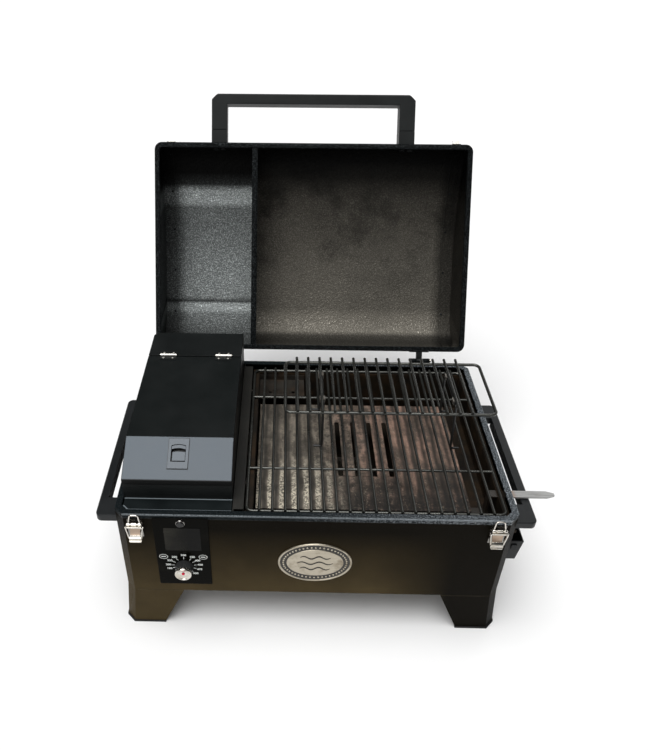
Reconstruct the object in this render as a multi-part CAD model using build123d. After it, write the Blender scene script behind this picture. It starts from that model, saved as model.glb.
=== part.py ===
from build123d import *
import os
from math import acos, cos, pi, radians, sin, sqrt, tan

# Portable pellet smoker grill, lid open. Millimetres, +Z up.
# While it is built, X = 0 is the middle of the body, Y = 0 its front face and Z = 0 the table.
# Heights named *_drop are measured down from the top of the base rim, *_rise up from it.

# ---------------------------------------------------------------- driving sizes
# base
body_w = 584.4
body_d = 381.0
body_h = 174.0
corner_cut = 13.6
body_sheet = 1.6
rim_w = 10.0
floor_flange_w = 14.0
seat_gap = 0.3
hole_clear = 0.2
pin_clear = 0.05

# legs and feet
leg_h = 80.0
leg_top_w = 91.0
leg_foot_w = 64.0
leg_splay = 8.0
leg_sheet = 2.5
foot_h = 3.5
foot_lip = 1.5

# hopper bay and its cover
hopper_w = 160.0
hopper_side_gap = 10.2
hopper_front = 34.0
hopper_rear_gap = 10.4
hopper_rise = 67.0
hopper_bend_y = 92.0
hopper_nose_rise = 36.0
hopper_cover_d = 71.6
hopper_sheet = 1.5
hopper_skirt_drop = 30.0
hopper_lip_h = 9.0
hopper_edge_gap = 1.2
divider_strip_w = 16.0
deck_drop = 3.0
deck_sheet = 1.5
deck_corner = 8.0
deck_bead_w = 1.6
deck_bead_h = 1.2
deck_lip_h = 10.0

# feed
auger_behind_middle = 9.5
auger_drop = 142.0
tube_r = 20.0
tube_wall = 2.0
auger_shaft_r = 5.0
auger_pitch = 34.0
flight_t = 2.5
flight_clear = 0.9
outlet_y = 36.0
outlet_left_in = 24.0
outlet_right_in = 10.0
motor_gap = 10.5
bearing_t = 3.7
motor_r = 22.0
motor_t = 19.0

# firebox
liner_right_gap = 8.2
liner_front = 14.0
liner_rear_gap = 8.0
liner_left_gap = 1.5
liner_sheet = 1.5
liner_ledge_w = 9.0
liner_foot_w = 20.0
liner_foot_in_x = 60.0
liner_foot_in_y = 40.0
liner_floor_drop = 118.0
pot_side = 80.0
pot_in = 163.5
pot_depth = 44.0
pot_sheet = 1.5
plate_left_gap = 13.5
plate_right_gap = 41.0
plate_front = 62.0
plate_rear_gap = 58.0
plate_drop = 50.0
plate_t = 2.5
plate_leg_w = 30.0
plate_leg_in = 12.0
plate_leg_front = 45.0
plate_leg_rear = 75.0
slot_count = 4
slot_first_in = 136.5
slot_pitch = 27.7
slot_w = 8.0
slot_front = 134.0
slot_rear_in = 47.0
slider_t = 1.5
slider_margin = 16.0
slider_arm_w = 22.0
guide_w = 18.0
strip_w = 13.0
strip_t = 3.0
strip_y = 68.0
strip_drop = 15.5
strip_reach = 69.8
strip_bend_in = 22.0
strip_tip_cut = 4.0
trough_w = 34.0
trough_drop = 60.0
trough_h = 7.0
trough_foot_front = 60.0
trough_foot_rear = 40.0
spout_w = 20.0
spout_y = 36.0
spout_reach = 14.0
bracket_drop = 30.0
bracket_lip = 12.0
bracket_w = 83.0
bracket_hole_r = 3.0
probe_r = 3.0
probe_drop = 38.0
probe_rear_gap = 35.0
probe_reach = 42.0
igniter_r = 4.5
igniter_off_y = 29.0
igniter_off_z = 8.0
igniter_len = 72.0
air_hole_r = 2.5

# grease cup
cup_w = 26.0
cup_len = 72.0
cup_h = 45.0
cup_y = 30.0
cup_drop = 79.0
cup_sheet = 1.5
cup_taper = 4.0
cup_gap = 1.5

# grates
grate_spaces = 20
grate_left_gap = 2.1
grate_right_gap = 13.6
grate_front = 21.0
grate_rear_gap = 15.0
grate_bend = 9.0
grate_drop = 7.5
cross_front_y = 109.4
cross_rear_in = 79.2
bar_r = 2.2
rail_r = 2.5
cross_r = 2.1
weld_in = 0.7
rack_pitch = 19.05
rack_spaces = 17
rack_bars = 15
rack_right_gap = 14.2
rack_d = 130.5
rack_rear_in = 89.5
rack_rise = 77.0
rack_tail = 8.0
rack_leg_r = 2.0
rack_leg_left_in = 264.5
rack_leg_right_in = 58.5
rack_leg_front_in = 20.0
rack_leg_rear_in = 19.5
clip_w = 10.0
clip_in = 14.0
rack_leg_lean = 12.0
rack_hook = 13.0

# lid, closed sizes
lid_h = 120.0
lid_front_h = 61.0
lid_slope_y = 163.0
lid_front_r = 50.0
lid_slope_r = 300.0
lid_rear_r = 60.0
lid_sheet = 1.5
lid_flange_w = 9.0
lid_flange_h = 9.0
lid_lap_in = 14.2
lid_lap_w = 11.0
lid_gap = 0.5
partition_in = 13.4
partition_foot_w = 10.3
lid_pivot_back = 16.5
lid_pivot_drop = 6.0
lid_open_deg = 118.9

# lid handle
handle_w = 380.0
handle_arm_w = 29.0
handle_bar_t = 19.0
handle_reach = 95.0
handle_post_reach = 29.0
handle_rise = 32.0
handle_h = 28.0
handle_corner = 11.0

# side handles
side_handle_reach = 31.8
side_handle_front = 15.0
side_handle_rear_gap = 95.0
side_handle_arm = 36.0
side_handle_bar = 13.0
side_handle_h = 13.0
side_handle_lip_t = 3.0
side_handle_lip_h = 6.0
side_handle_drop = 20.5
side_handle_corner = 9.0

# hinges
hinge_in = 84.2
hinge_w = 36.0
hinge_pin_r = 2.0
knuckle_r = 4.0
leaf_t = 1.5
leaf_h = 30.0
small_hinge_w = 27.0
small_hinge_left = 45.5
small_hinge_right = 49.5
small_leaf_w = 10.0
rivet_dx = 8.0
small_pin_r = 1.0
small_knuckle_r = 2.2
rivet_r = 2.3
rivet_h = 1.1

# latches
latch_in = 30.2
latch_w = 22.0
latch_top_drop = 10.0
latch_bottom_drop = 46.0
latch_pivot_drop = 20.0
latch_pivot_out = 7.5
latch_ear_r = 2.8
latch_pin_r = 1.5
lever_w = 26.0
lever_foot_w = 19.0
lever_drop = 54.0
lever_top = 3.5
lever_face_out = 4.4
lever_cheek_h = 10.0
lever_slot_drop = 4.0
latch_sheet = 1.2
bail_r = 1.2
bail_w = 15.0
bail_pivot_below = 7.0

# control panel
panel_in = 55.7
panel_w = 81.0
panel_drop = 6.0
panel_h = 149.0
panel_t = 2.0
panel_lap = 2.5
knob_in = 40.5
knob_drop = 110.5
knob_r = 13.0
knob_out = 20.0
knob_shaft_r = 3.0
button_drop = 16.5
button_r = 5.5
button_travel = 1.5
box_depth = 30.0
box_wall = 1.5
box_margin = 5.0

# hopper latch
latch_plate_w = 30.0
latch_plate_h = 47.0
latch_plate_drop = 2.8
thumb_travel = 6.0

# badge
badge_x = 2.0
badge_drop = 99.0
badge_w = 112.0
badge_h = 86.0
badge_t = 1.5

# fan
fan_in = 72.0
fan_rear_gap = 69.0
fan_side = 60.0
fan_h = 26.0
fan_pin_r = 2.0
air_port_w = 56.0
air_port_sill = 4.0
air_port_h = 36.0

# ---------------------------------------------------------------- places worked out from them
half_w = body_w / 2
floor_z = foot_h + leg_h
rim_z = floor_z + body_h
hopper_left = hopper_side_gap - half_w
hopper_right = hopper_left + hopper_w
hopper_mid_x = hopper_left + hopper_w / 2
hopper_rear = body_d - hopper_rear_gap
hopper_hinge_y = hopper_rear - hopper_cover_d
auger_y = body_d / 2 + auger_behind_middle
outlet_left = hopper_left + outlet_left_in
outlet_right = hopper_right - outlet_right_in
fan_x = hopper_left + fan_in
fan_y = body_d - fan_rear_gap
inner_x = half_w - body_sheet
divider_x = hopper_right + 1.0
strip_right = divider_x + divider_strip_w
pan_top = floor_z + 2 * body_sheet
hopper_top = rim_z + hopper_rise
auger_z = rim_z - auger_drop
liner_left = strip_right + liner_left_gap
liner_right = half_w - liner_right_gap
liner_rear = body_d - liner_rear_gap
pot_x = liner_left + pot_in
plate_left = liner_left + plate_left_gap
plate_right = liner_right - plate_right_gap
plate_rear = liner_rear - plate_rear_gap
slot_first_x = plate_left + slot_first_in
slot_rear = plate_rear - slot_rear_in
strip_tip = half_w + strip_reach
strip_bend_x = liner_right - strip_bend_in
probe_y = liner_rear - probe_rear_gap
probe_z = rim_z - probe_drop
liner_floor = rim_z - liner_floor_drop
grate_z = rim_z - grate_drop
rail_z = grate_z - bar_r - rail_r + weld_in
ledge_z = rail_z - rail_r - seat_gap
grate_left = liner_left + grate_left_gap
grate_right = half_w - grate_right_gap
grate_pitch = (grate_right - grate_left) / grate_spaces
grate_rear = body_d - grate_rear_gap
cross_rear_y = grate_rear - cross_rear_in
plate_z = rim_z - plate_drop
slider_z = plate_z - plate_t - seat_gap
strip_z = rim_z - strip_drop
trough_z = rim_z - trough_drop
cup_z = rim_z - cup_drop
rack_z = rim_z + rack_rise
rack_rail_z = rack_z - bar_r - rail_r + weld_in
rack_right = half_w - rack_right_gap
rack_left = rack_right - rack_pitch * rack_spaces
rack_rear = grate_rear - rack_rear_in
rack_front = rack_rear - rack_d
rack_leg_left_x = rack_right - rack_leg_left_in
rack_leg_right_x = rack_right - rack_leg_right_in
rack_leg_front = rack_front + rack_leg_front_in
rack_leg_rear = rack_rear - rack_leg_rear_in
rack_leg_z = rack_z - bar_r - rack_leg_r - seat_gap
lid_z = rim_z + lid_gap
lid_pivot_y = body_d + lid_pivot_back
lid_pivot_z = rim_z - lid_pivot_drop
hopper_pivot_z = hopper_top + small_knuckle_r
lid_lap_x = half_w - lid_lap_in
partition_x = divider_x + partition_in
side_handle_x = half_w + side_handle_reach
side_handle_rear = body_d - side_handle_rear_gap
hinge_x = half_w - hinge_in
latch_x = half_w - latch_in
panel_left = panel_in - half_w
panel_right = panel_left + panel_w
knob_x = panel_left + knob_in
latch_z = rim_z - latch_pivot_drop
knob_z = rim_z - knob_drop
button_z = rim_z - button_drop
pot_top = liner_floor
hopper_nose_y = hopper_front - hopper_sheet - seat_gap
slope_len = sqrt((hopper_bend_y - hopper_nose_y) ** 2 + (hopper_rise - hopper_nose_rise) ** 2)
slope_rad = acos((hopper_bend_y - hopper_nose_y) / slope_len)


# ---------------------------------------------------------------- shape helpers
def block(x0, x1, y0, y1, z0, z1):
    return Pos((x0 + x1) / 2, (y0 + y1) / 2, (z0 + z1) / 2) * Box(x1 - x0, y1 - y0, z1 - z0)


def rod_x(x0, x1, y, z, r):
    return Pos((x0 + x1) / 2, y, z) * Rot(0, 90, 0) * Cylinder(r, x1 - x0)


def rod_y(x, y0, y1, z, r):
    return Pos(x, (y0 + y1) / 2, z) * Rot(90, 0, 0) * Cylinder(r, y1 - y0)


def rod_z(x, y, z0, z1, r):
    return Pos(x, y, (z0 + z1) / 2) * Cylinder(r, z1 - z0)


def rounded_face(points, radii):
    """A flat face whose outline runs through the points, each corner rounded by its own radius."""
    corners = []
    for i, point in enumerate(points):
        p = Vector(*point)
        back = (Vector(*points[i - 1]) - p).normalized()
        ahead = (Vector(*points[(i + 1) % len(points)]) - p).normalized()
        half = acos(back.dot(ahead)) / 2
        middle = (back + ahead).normalized()
        start = p + back * (radii[i] / tan(half))
        end = p + ahead * (radii[i] / tan(half))
        corners.append((start, p + middle * (radii[i] / sin(half) - radii[i]), end))
    edges = []
    for i, (start, middle, end) in enumerate(corners):
        if radii[i]:
            edges.append(ThreePointArc(start, middle, end))
        following = corners[(i + 1) % len(corners)][0]
        if (following - end).length > 1e-6:
            edges.append(Line(end, following))
    return make_face(edges)


def polygon(points):
    return make_face(Polyline(*points, close=True))


def along_x(face, x0, x1):
    """A face drawn in (y, z), drawn out from x0 to x1."""
    plane = Plane(origin=(x0, 0, 0), x_dir=(0, 1, 0), z_dir=(1, 0, 0))
    return extrude(plane * face, x1 - x0)


def along_y(face, y0, y1):
    """A face drawn in (x, z), drawn out from y0 to y1."""
    plane = Plane(origin=(0, y1, 0), x_dir=(1, 0, 0), z_dir=(0, -1, 0))
    return extrude(plane * face, y1 - y0)


def along_z(face, z0, z1):
    return extrude(Pos(0, 0, z0) * face, z1 - z0)


def folded(points, thickness):
    """The section of a folded sheet: the bent line and the same line moved to its left."""
    moved = []
    for i, point in enumerate(points):
        first = points[max(i - 1, 0)]
        last = points[min(i + 1, len(points) - 1)]
        normals = []
        for a, b in ((first, point), (point, last)):
            run = sqrt((b[0] - a[0]) ** 2 + (b[1] - a[1]) ** 2)
            if run:
                normals.append(((a[1] - b[1]) / run, (b[0] - a[0]) / run))
        sum_x = sum(n[0] for n in normals)
        sum_y = sum(n[1] for n in normals)
        scale = thickness * len(normals) / (sum_x ** 2 + sum_y ** 2)
        moved.append((point[0] + sum_x * scale, point[1] + sum_y * scale))
    return polygon(list(points) + moved[::-1])


def cut_corner_plan(inset):
    """The body's outline seen from above, moved inwards."""
    x = half_w - inset
    y0 = inset
    y1 = body_d - inset
    cut = max(corner_cut - inset * (2 - sqrt(2)), 0.5)
    return polygon([
        (cut - x, y0), (x - cut, y0), (x, y0 + cut), (x, y1 - cut),
        (x - cut, y1), (cut - x, y1), (-x, y1 - cut), (-x, y0 + cut),
    ])


def round_corner_plan(inset):
    """The lid's outline seen from above, moved inwards."""
    x = half_w - inset
    corner = max(corner_cut - inset, 1.0)
    points = [(-x, inset), (x, inset), (x, body_d - inset), (-x, body_d - inset)]
    return rounded_face(points, [corner] * 4)


def bent_wire(points, r, bend):
    path = FilletPolyline(*points, radius=bend)
    return sweep(Plane(origin=path @ 0, z_dir=path % 0) * Circle(r), path=path)


def wire_loop(x0, x1, y0, y1, z, r, bend):
    """A closed rectangular wire frame lying flat, with bent corners."""
    face = rounded_face([(x0, y0), (x1, y0), (x1, y1), (x0, y1)], [bend] * 4)
    path = (Pos(0, 0, z) * face).wire()
    return sweep(Plane(origin=path @ 0, z_dir=path % 0) * Circle(r), path=path)


def open_lid(shape):
    """Turns a piece of the lid from where it is when closed to where it rests when open."""
    hinge = Pos(0, lid_pivot_y, lid_pivot_z)
    return hinge * Rot(-lid_open_deg, 0, 0) * hinge.inverse() * shape


PIECES = {}


def keep(name, shape):
    PIECES[name] = shape


# ---------------------------------------------------------------- base
def strip_slot():
    """The slot that the slider's strip passes through in both right walls."""
    return block(
        liner_right - 20, half_w + 1, strip_y - strip_w / 2 - 1, strip_y + strip_w / 2 + 1,
        strip_z - strip_t - 0.6, strip_z + 0.6,
    )


def spout_slot():
    """The slot that the grease spout passes through in both right walls."""
    return block(
        liner_right - 9, half_w + 1, spout_y - hole_clear, spout_y + spout_w + hole_clear,
        trough_z - trough_h - hole_clear, trough_z + hole_clear,
    )


def side_screw_places():
    """Centres (y, z) of the two screws at each side handle's arms."""
    z = rim_z - side_handle_drop - side_handle_h / 2
    first = side_handle_front + side_handle_arm / 2
    last = side_handle_rear - side_handle_arm / 2
    return [(first, z), (last, z)]


def make_base_shell():
    shell = along_z(cut_corner_plan(0), floor_z, rim_z)
    shell -= along_z(cut_corner_plan(body_sheet), floor_z + body_sheet, rim_z - body_sheet)
    shell -= along_z(cut_corner_plan(rim_w), rim_z - 2 * body_sheet, rim_z + 1)
    shell -= along_z(cut_corner_plan(floor_flange_w), floor_z - 1, floor_z + 2 * body_sheet)
    shell -= block(
        panel_left + panel_lap, panel_right - panel_lap, -1, body_sheet + 1,
        rim_z - panel_drop - panel_h + panel_lap, rim_z - panel_drop - panel_lap,
    )
    shell -= strip_slot()
    shell -= spout_slot()
    for side in (-1, 1):
        for y, z in side_screw_places():
            shell -= rod_x(side * half_w - 4, side * half_w + 4, y, z, 2.5 + hole_clear)
    for i in range(6):
        x = 40 + 24 * i
        shell -= block(x, x + 12, body_d - 4, body_d + 1, rim_z - 46, rim_z - 34)
    shell -= inlet_box(hole_clear)
    return shell


def inlet_box(grow):
    """The power inlet's body, let into the rear wall behind the hopper."""
    x = hopper_left + 28
    z = floor_z + 34
    return block(
        x - 14 - grow, x + 14 + grow, body_d - 16, body_d + 1,
        z - 10 - grow, z + 10 + grow,
    )


def make_power_inlet():
    x = hopper_left + 28
    z = floor_z + 34
    body = inlet_box(0) + block(x - 20, x + 20, body_d, body_d + 2, z - 14, z + 14)
    body -= block(x - 11, x + 11, body_d - 12, body_d + 3, z - 7, z + 7)
    for dx in (-6, 0, 6):
        body += block(x + dx - 1, x + dx + 1, body_d - 14, body_d - 3, z - 2, z + 2)
    return body


def make_floor_pan():
    pan = along_z(cut_corner_plan(body_sheet + seat_gap), floor_z + body_sheet, pan_top)
    for i in range(5):
        x = fan_x - 20 + 10 * i
        pan -= block(x - 2.5, x + 2.5, fan_y - 20, fan_y + 20, floor_z, pan_top + 1)
    return pan


def make_divider():
    inside = body_sheet + seat_gap
    top = rim_z - body_sheet - seat_gap
    ends = inside + corner_cut
    wall = block(divider_x, divider_x + body_sheet, inside, body_d - inside, pan_top, top)
    wall += block(divider_x, strip_right, ends, body_d - ends, top - body_sheet, top)
    wall -= rod_x(divider_x - 1, divider_x + 3, auger_y, auger_z, tube_r + seat_gap)
    port = air_port_w / 2
    sill = pan_top + air_port_sill
    wall -= block(divider_x - 1, divider_x + 3, fan_y - port, fan_y + port, sill, sill + air_port_h)
    wall -= rod_x(divider_x - 1, divider_x + 3, probe_y, probe_z, probe_r + pin_clear)
    return wall


def make_hopper_deck():
    """The plate that closes the bay in front of the hopper, its outer corner cut like the body's."""
    x0 = hopper_left + 1
    x1 = hopper_right - seat_gap
    y0 = rim_w + seat_gap
    y1 = hopper_front - seat_gap
    top = rim_z - deck_drop
    c = deck_corner
    b = deck_bead_w
    outline = [(x0 + c, y0), (x1, y0), (x1, y1), (x0, y1), (x0, y0 + c)]
    plate = along_z(polygon(outline), top - deck_sheet, top)
    inner = c + b * (sqrt(2) - 1)
    bead = [(x0 + c, y0), (x1, y0), (x1, y0 + b), (x0 + inner, y0 + b), (x0 + b, y0 + inner), (x0, y0 + c)]
    plate += along_z(polygon(bead), top, top + deck_bead_h)
    plate += block(x0, x1, y1 - b, y1, top - deck_sheet - deck_lip_h, top + deck_bead_h)
    return plate


# ---------------------------------------------------------------- legs and feet
def leg_outline(width, out):
    """The folded L that a leg follows round a front corner of the body, from above."""
    x = half_w + out
    cut = corner_cut
    return [(x - width, 0), (x - cut, 0), (x, cut), (x, width)]


def leg_blank(z_low, z_high, low_w, high_w, low_out, high_out, thickness):
    sections = []
    for z, width, out in ((z_low, low_w, low_out), (z_high, high_w, high_out)):
        sections.append(Pos(0, 0, z) * folded(leg_outline(width, out), thickness))
    return loft(sections)


def make_leg(right, rear):
    leg = leg_blank(foot_h, floor_z, leg_foot_w, leg_top_w, leg_splay, 0, leg_sheet)
    inside = half_w - leg_sheet - 12
    outside = half_w - leg_top_w + 6
    leg += block(outside, inside, leg_sheet - 0.2, leg_sheet + 12, floor_z - leg_sheet, floor_z)
    return placed_leg(leg, right, rear)


def placed_leg(shape, right, rear):
    if rear:
        shape = mirror(Pos(0, 0, 0) * shape, Plane(origin=(0, body_d / 2, 0), z_dir=(0, 1, 0)))
    if not right:
        shape = mirror(shape, Plane.YZ)
    return shape


def make_foot(right, rear):
    """A rubber strip along a leg's lower edge, a little wider than the sheet it fits on."""
    width = leg_foot_w + foot_lip
    out = leg_splay + foot_lip
    outer = leg_blank(0, foot_h, width, width, out, out, leg_sheet + 2 * foot_lip)
    return placed_leg(Pos(0, -foot_lip, 0) * outer, right, rear)


# ---------------------------------------------------------------- side handles
def make_side_handle(side):
    """A moulded grip; the bar's inner edge turns down as a lip for the fingers."""
    top = rim_z - side_handle_drop
    x0 = half_w
    x1 = side_handle_x
    y0 = side_handle_front
    y1 = side_handle_rear
    radii = [0, side_handle_corner, side_handle_corner, 0]
    outline = rounded_face([(x0, y0), (x1, y0), (x1, y1), (x0, y1)], radii)
    handle = along_z(outline, top - side_handle_h, top)
    handle -= block(
        x0 - 1, x1 - side_handle_bar, y0 + side_handle_arm, y1 - side_handle_arm,
        top - side_handle_h - 1, top + 1,
    )
    outside = handle.edges().filter_by(GeomType.LINE).filter_by(Axis.Y).group_by(Axis.X)[-1]
    handle = chamfer(outside, 1.5)
    grip_in = x1 - side_handle_bar
    lip_low = top - side_handle_h - side_handle_lip_h
    handle += block(
        grip_in, grip_in + side_handle_lip_t, y0 + side_handle_arm, y1 - side_handle_arm,
        lip_low, top - side_handle_h + 1,
    )
    for y, z in side_screw_places():
        handle -= rod_x(x0 - 1, x0 + 18, y, z, 2.5)
    if side < 0:
        handle = mirror(handle, Plane.YZ)
    return handle


def make_side_handle_screws():
    screws = []
    for side in (-1, 1):
        for y, z in side_screw_places():
            head = rod_x(inner_x - 3, inner_x, y, z, 5)
            shank = rod_x(inner_x - 1, half_w + 16, y, z, 2.5)
            screw = head + shank
            screws.append(screw if side > 0 else mirror(screw, Plane.YZ))
    return screws


# ---------------------------------------------------------------- firebox
def make_liner():
    """The heat-stained inner box, hung by a ledge round its top, with feet on the floor pan."""
    t = liner_sheet
    x0 = liner_left + liner_ledge_w
    x1 = liner_right - liner_ledge_w + 2
    y0 = liner_front + liner_ledge_w
    y1 = liner_rear - liner_ledge_w
    liner = block(x0, x1, y0, y1, liner_floor - t, ledge_z)
    liner -= block(x0 + t, x1 - t, y0 + t, y1 - t, liner_floor, ledge_z + 1)
    ledge = block(liner_left, liner_right, liner_front, liner_rear, ledge_z - t, ledge_z)
    ledge -= block(
        x0 + t / 2, x1 - t / 2, y0 + t / 2, y1 - t / 2, ledge_z - 2 * t, ledge_z + t,
    )
    liner += ledge
    liner -= strip_slot()
    liner -= spout_slot()
    half = pot_side / 2 + seat_gap
    liner -= block(
        pot_x - half, pot_x + half, auger_y - half, auger_y + half,
        liner_floor - 2 * t, liner_floor + t,
    )
    liner -= rod_x(liner_left - 1, x0 + 3, probe_y, probe_z, probe_r + pin_clear)
    foot = liner_foot_w / 2
    for x in (liner_left + liner_foot_in_x, liner_right - liner_foot_in_x):
        for y in (liner_front + liner_foot_in_y, liner_rear - liner_foot_in_y):
            liner += block(x - foot, x + foot, y - foot, y + foot, pan_top, liner_floor - t)
    return liner


def make_burn_pot():
    half = pot_side / 2
    low = pot_top - pot_depth
    pot = block(pot_x - half, pot_x + half, auger_y - half, auger_y + half, low, pot_top)
    edge = half + 8
    pot += block(
        pot_x - edge, pot_x + edge, auger_y - edge, auger_y + edge, pot_top, pot_top + pot_sheet,
    )
    inner = half - pot_sheet
    pot -= block(
        pot_x - inner, pot_x + inner, auger_y - inner, auger_y + inner, low + pot_sheet, pot_top + 9,
    )
    pot -= rod_x(pot_x - half - 1, pot_x - inner + 1, auger_y, auger_z, tube_r + seat_gap)
    pot -= rod_x(pot_x - half - 1, pot_x - inner + 1, *igniter_place(), igniter_r + pin_clear)
    for i in range(5):
        y = auger_y - 24 + 12 * i
        for z in (low + 22, low + 34):
            pot -= rod_x(pot_x + inner - 1, pot_x + half + 1, y, z, air_hole_r)
    return pot


def igniter_place():
    return auger_y - igniter_off_y, auger_z - igniter_off_z


def make_igniter():
    x1 = pot_x - pot_side / 2 + 12
    return rod_x(x1 - igniter_len, x1, *igniter_place(), igniter_r)


def make_burn_grate():
    inner = pot_side / 2 - pot_sheet - seat_gap
    low = pot_top - pot_depth + pot_sheet
    plate = block(
        pot_x - inner, pot_x + inner, auger_y - inner, auger_y + inner, low + 1.5, low + 3.5,
    )
    for i in range(5):
        for j in range(5):
            plate -= rod_z(pot_x - 24 + 12 * i, auger_y - 24 + 12 * j, low, low + 5, air_hole_r)
    for dx in (-1, 1):
        x = pot_x + dx * (inner - 2)
        plate += block(x - 2, x + 2, auger_y - inner, auger_y + inner, low, low + 1.5)
    return plate


def slot_places():
    return [slot_first_x + slot_pitch * i for i in range(slot_count)]


def make_broiler_plate():
    plate = block(plate_left, plate_right, plate_front, plate_rear, plate_z - plate_t, plate_z)
    for x in slot_places():
        x0 = x - slot_w / 2
        x1 = x + slot_w / 2
        corners = [(x0, slot_front), (x1, slot_front), (x1, slot_rear), (x0, slot_rear)]
        plate -= along_z(rounded_face(corners, [slot_w * 0.3] * 4), plate_z - plate_t - 1, plate_z + 1)
    return plate


def make_plate_legs():
    """Four flat legs welded under the broiler plate, standing on the liner's floor."""
    legs = []
    for x in (plate_left, plate_right - plate_leg_in):
        for y in (plate_front + plate_leg_front, plate_rear - plate_leg_rear):
            legs.append(block(x, x + plate_t, y, y + plate_leg_w, liner_floor, plate_z - plate_t))
    return legs


def make_slider():
    xs = slot_places()
    z1 = slider_z
    z0 = z1 - slider_t
    x0 = xs[0] - slider_margin
    x1 = xs[-1] + slider_margin
    plate = block(x0, x1, slot_front - slider_margin, slot_rear + slider_margin, z0, z1)
    plate += block(x1 - slider_arm_w, x1, strip_y - strip_w / 2, slot_front, z0, z1)
    for x in xs:
        plate -= block(x - slot_w / 2, x + slot_w / 2, slot_front, slot_rear, z0 - 1, z1 + 1)
    return plate


def make_slider_guides():
    """Four small clips under the broiler plate that carry the slider's front and rear edges."""
    clips = []
    top = plate_z - plate_t
    low = slider_z - slider_t - seat_gap
    for x in (slot_first_x - 4, slot_first_x + 36):
        for y, inward in ((slot_front - slider_margin, 1), (slot_rear + slider_margin, -1)):
            outer = y - inward * (seat_gap + 1.5)
            face = polygon([
                (outer, top), (y - inward * seat_gap, top), (y - inward * seat_gap, low),
                (y + inward * 5, low), (y + inward * 5, low - 1.5), (outer, low - 1.5),
            ])
            clips.append(along_x(face, x, x + guide_w))
    return clips


def make_slider_strip():
    """The flat bar that pushes the slider: out through the right walls, down and under the plate."""
    top = strip_z
    bend = strip_bend_x
    under = slider_z - slider_t
    inner_end = slot_places()[-1] + slider_margin - slider_arm_w
    line = [(strip_tip, top), (bend, top), (bend, under), (inner_end, under)]
    bar = along_y(folded(line, strip_t), strip_y - strip_w / 2, strip_y + strip_w / 2)
    for side in (-1, 1):
        edge = strip_y + side * strip_w / 2
        tip = polygon([
            (strip_tip - 3 * strip_tip_cut, edge), (strip_tip, edge - side * strip_tip_cut),
            (strip_tip + 1, edge + side),
        ])
        bar -= along_z(tip, top - strip_t - 1, top + 1)
    return bar


def make_trough():
    t = cup_sheet
    x0 = plate_right - 2
    x1 = x0 + trough_w
    low = trough_z - trough_h
    y0 = spout_y
    y1 = plate_rear + 18
    trough = block(x0, x1, y0, y1, low, trough_z)
    trough += block(x1 - 2, half_w + spout_reach, y0, y0 + spout_w, low, trough_z)
    trough -= block(x0 + t, x1 - t, y0 + t, y1 - t, low + t, trough_z + 1)
    trough -= block(x1 - 3, half_w + spout_reach + 1, y0 + t, y0 + spout_w - t, low + t, trough_z + 1)
    for y in (y0 + trough_foot_front, y1 - trough_foot_rear):
        trough += block(x0 + 10, x0 + 20, y - 8, y + 8, liner_floor, low)
    return trough


def make_rear_bracket():
    """The strip with two holes behind the broiler plate, screwed to the liner's rear wall."""
    back = liner_rear - liner_ledge_w - liner_sheet
    x0 = plate_left - 3
    z = rim_z - bracket_drop
    line = [(plate_rear - 1, z), (back, z), (back, z + bracket_lip)]
    strip = along_x(folded(line, liner_sheet), x0, x0 + bracket_w)
    for x in (x0 + bracket_w / 4, x0 + bracket_w * 3 / 4):
        strip -= rod_z(x, plate_rear + 3 * bracket_hole_r, z - 1, z + 2 * liner_sheet, bracket_hole_r)
    return strip


def make_probe():
    wall = liner_left + liner_ledge_w + liner_sheet
    probe = rod_x(divider_x - 0.6, wall + probe_reach, probe_y, probe_z, probe_r)
    probe += rod_x(wall, wall + 2, probe_y, probe_z, 2 * probe_r)
    return probe


# ---------------------------------------------------------------- grease cup
def make_cup():
    x0 = half_w + cup_gap
    x1 = x0 + cup_w
    y1 = cup_y + cup_len
    low = cup_z - cup_h
    top = polygon([(x0, cup_y), (x1, cup_y), (x1, y1), (x0, y1)])
    t = cup_taper
    foot = polygon([(x0, cup_y + t), (x1 - t, cup_y + t), (x1 - t, y1 - t), (x0, y1 - t)])
    s = cup_sheet
    top_in = polygon([(x0 + s, cup_y + s), (x1 - s, cup_y + s), (x1 - s, y1 - s), (x0 + s, y1 - s)])
    foot_in = polygon([
        (x0 + s, cup_y + t + s), (x1 - t - s, cup_y + t + s),
        (x1 - t - s, y1 - t - s), (x0 + s, y1 - t - s),
    ])
    cup = loft([Pos(0, 0, low) * foot, Pos(0, 0, cup_z) * top])
    cup -= loft([Pos(0, 0, low + s) * foot_in, Pos(0, 0, cup_z + 0.01) * top_in])
    return cup


def make_cup_hanger():
    """A bent clip fixed to the right wall, under the cup's floor and behind its back wall."""
    y0 = cup_y + cup_len / 2 - 10
    low = cup_z - cup_h
    under = low - cup_gap - seat_gap
    line = [(half_w, low + 14), (half_w, under), (half_w + 12, under)]
    return along_y(folded(line, 1.2), y0, y0 + 20)


def make_cup_clip():
    """The zinc spring clip on the cup's front wall."""
    x = half_w + cup_gap + cup_w / 2
    return block(x - 4, x + 4, cup_y - 2 + 0.6, cup_y + 1.1, cup_z - 17, cup_z - 7)


# ---------------------------------------------------------------- feed
def hopper_corner(shape, inset):
    """Cuts the hopper's rear outer corner to follow the rim's inner edge."""
    return shape & along_z(cut_corner_plan(rim_w + seat_gap / 2 + inset), 0, hopper_top + hopper_w)


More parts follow.
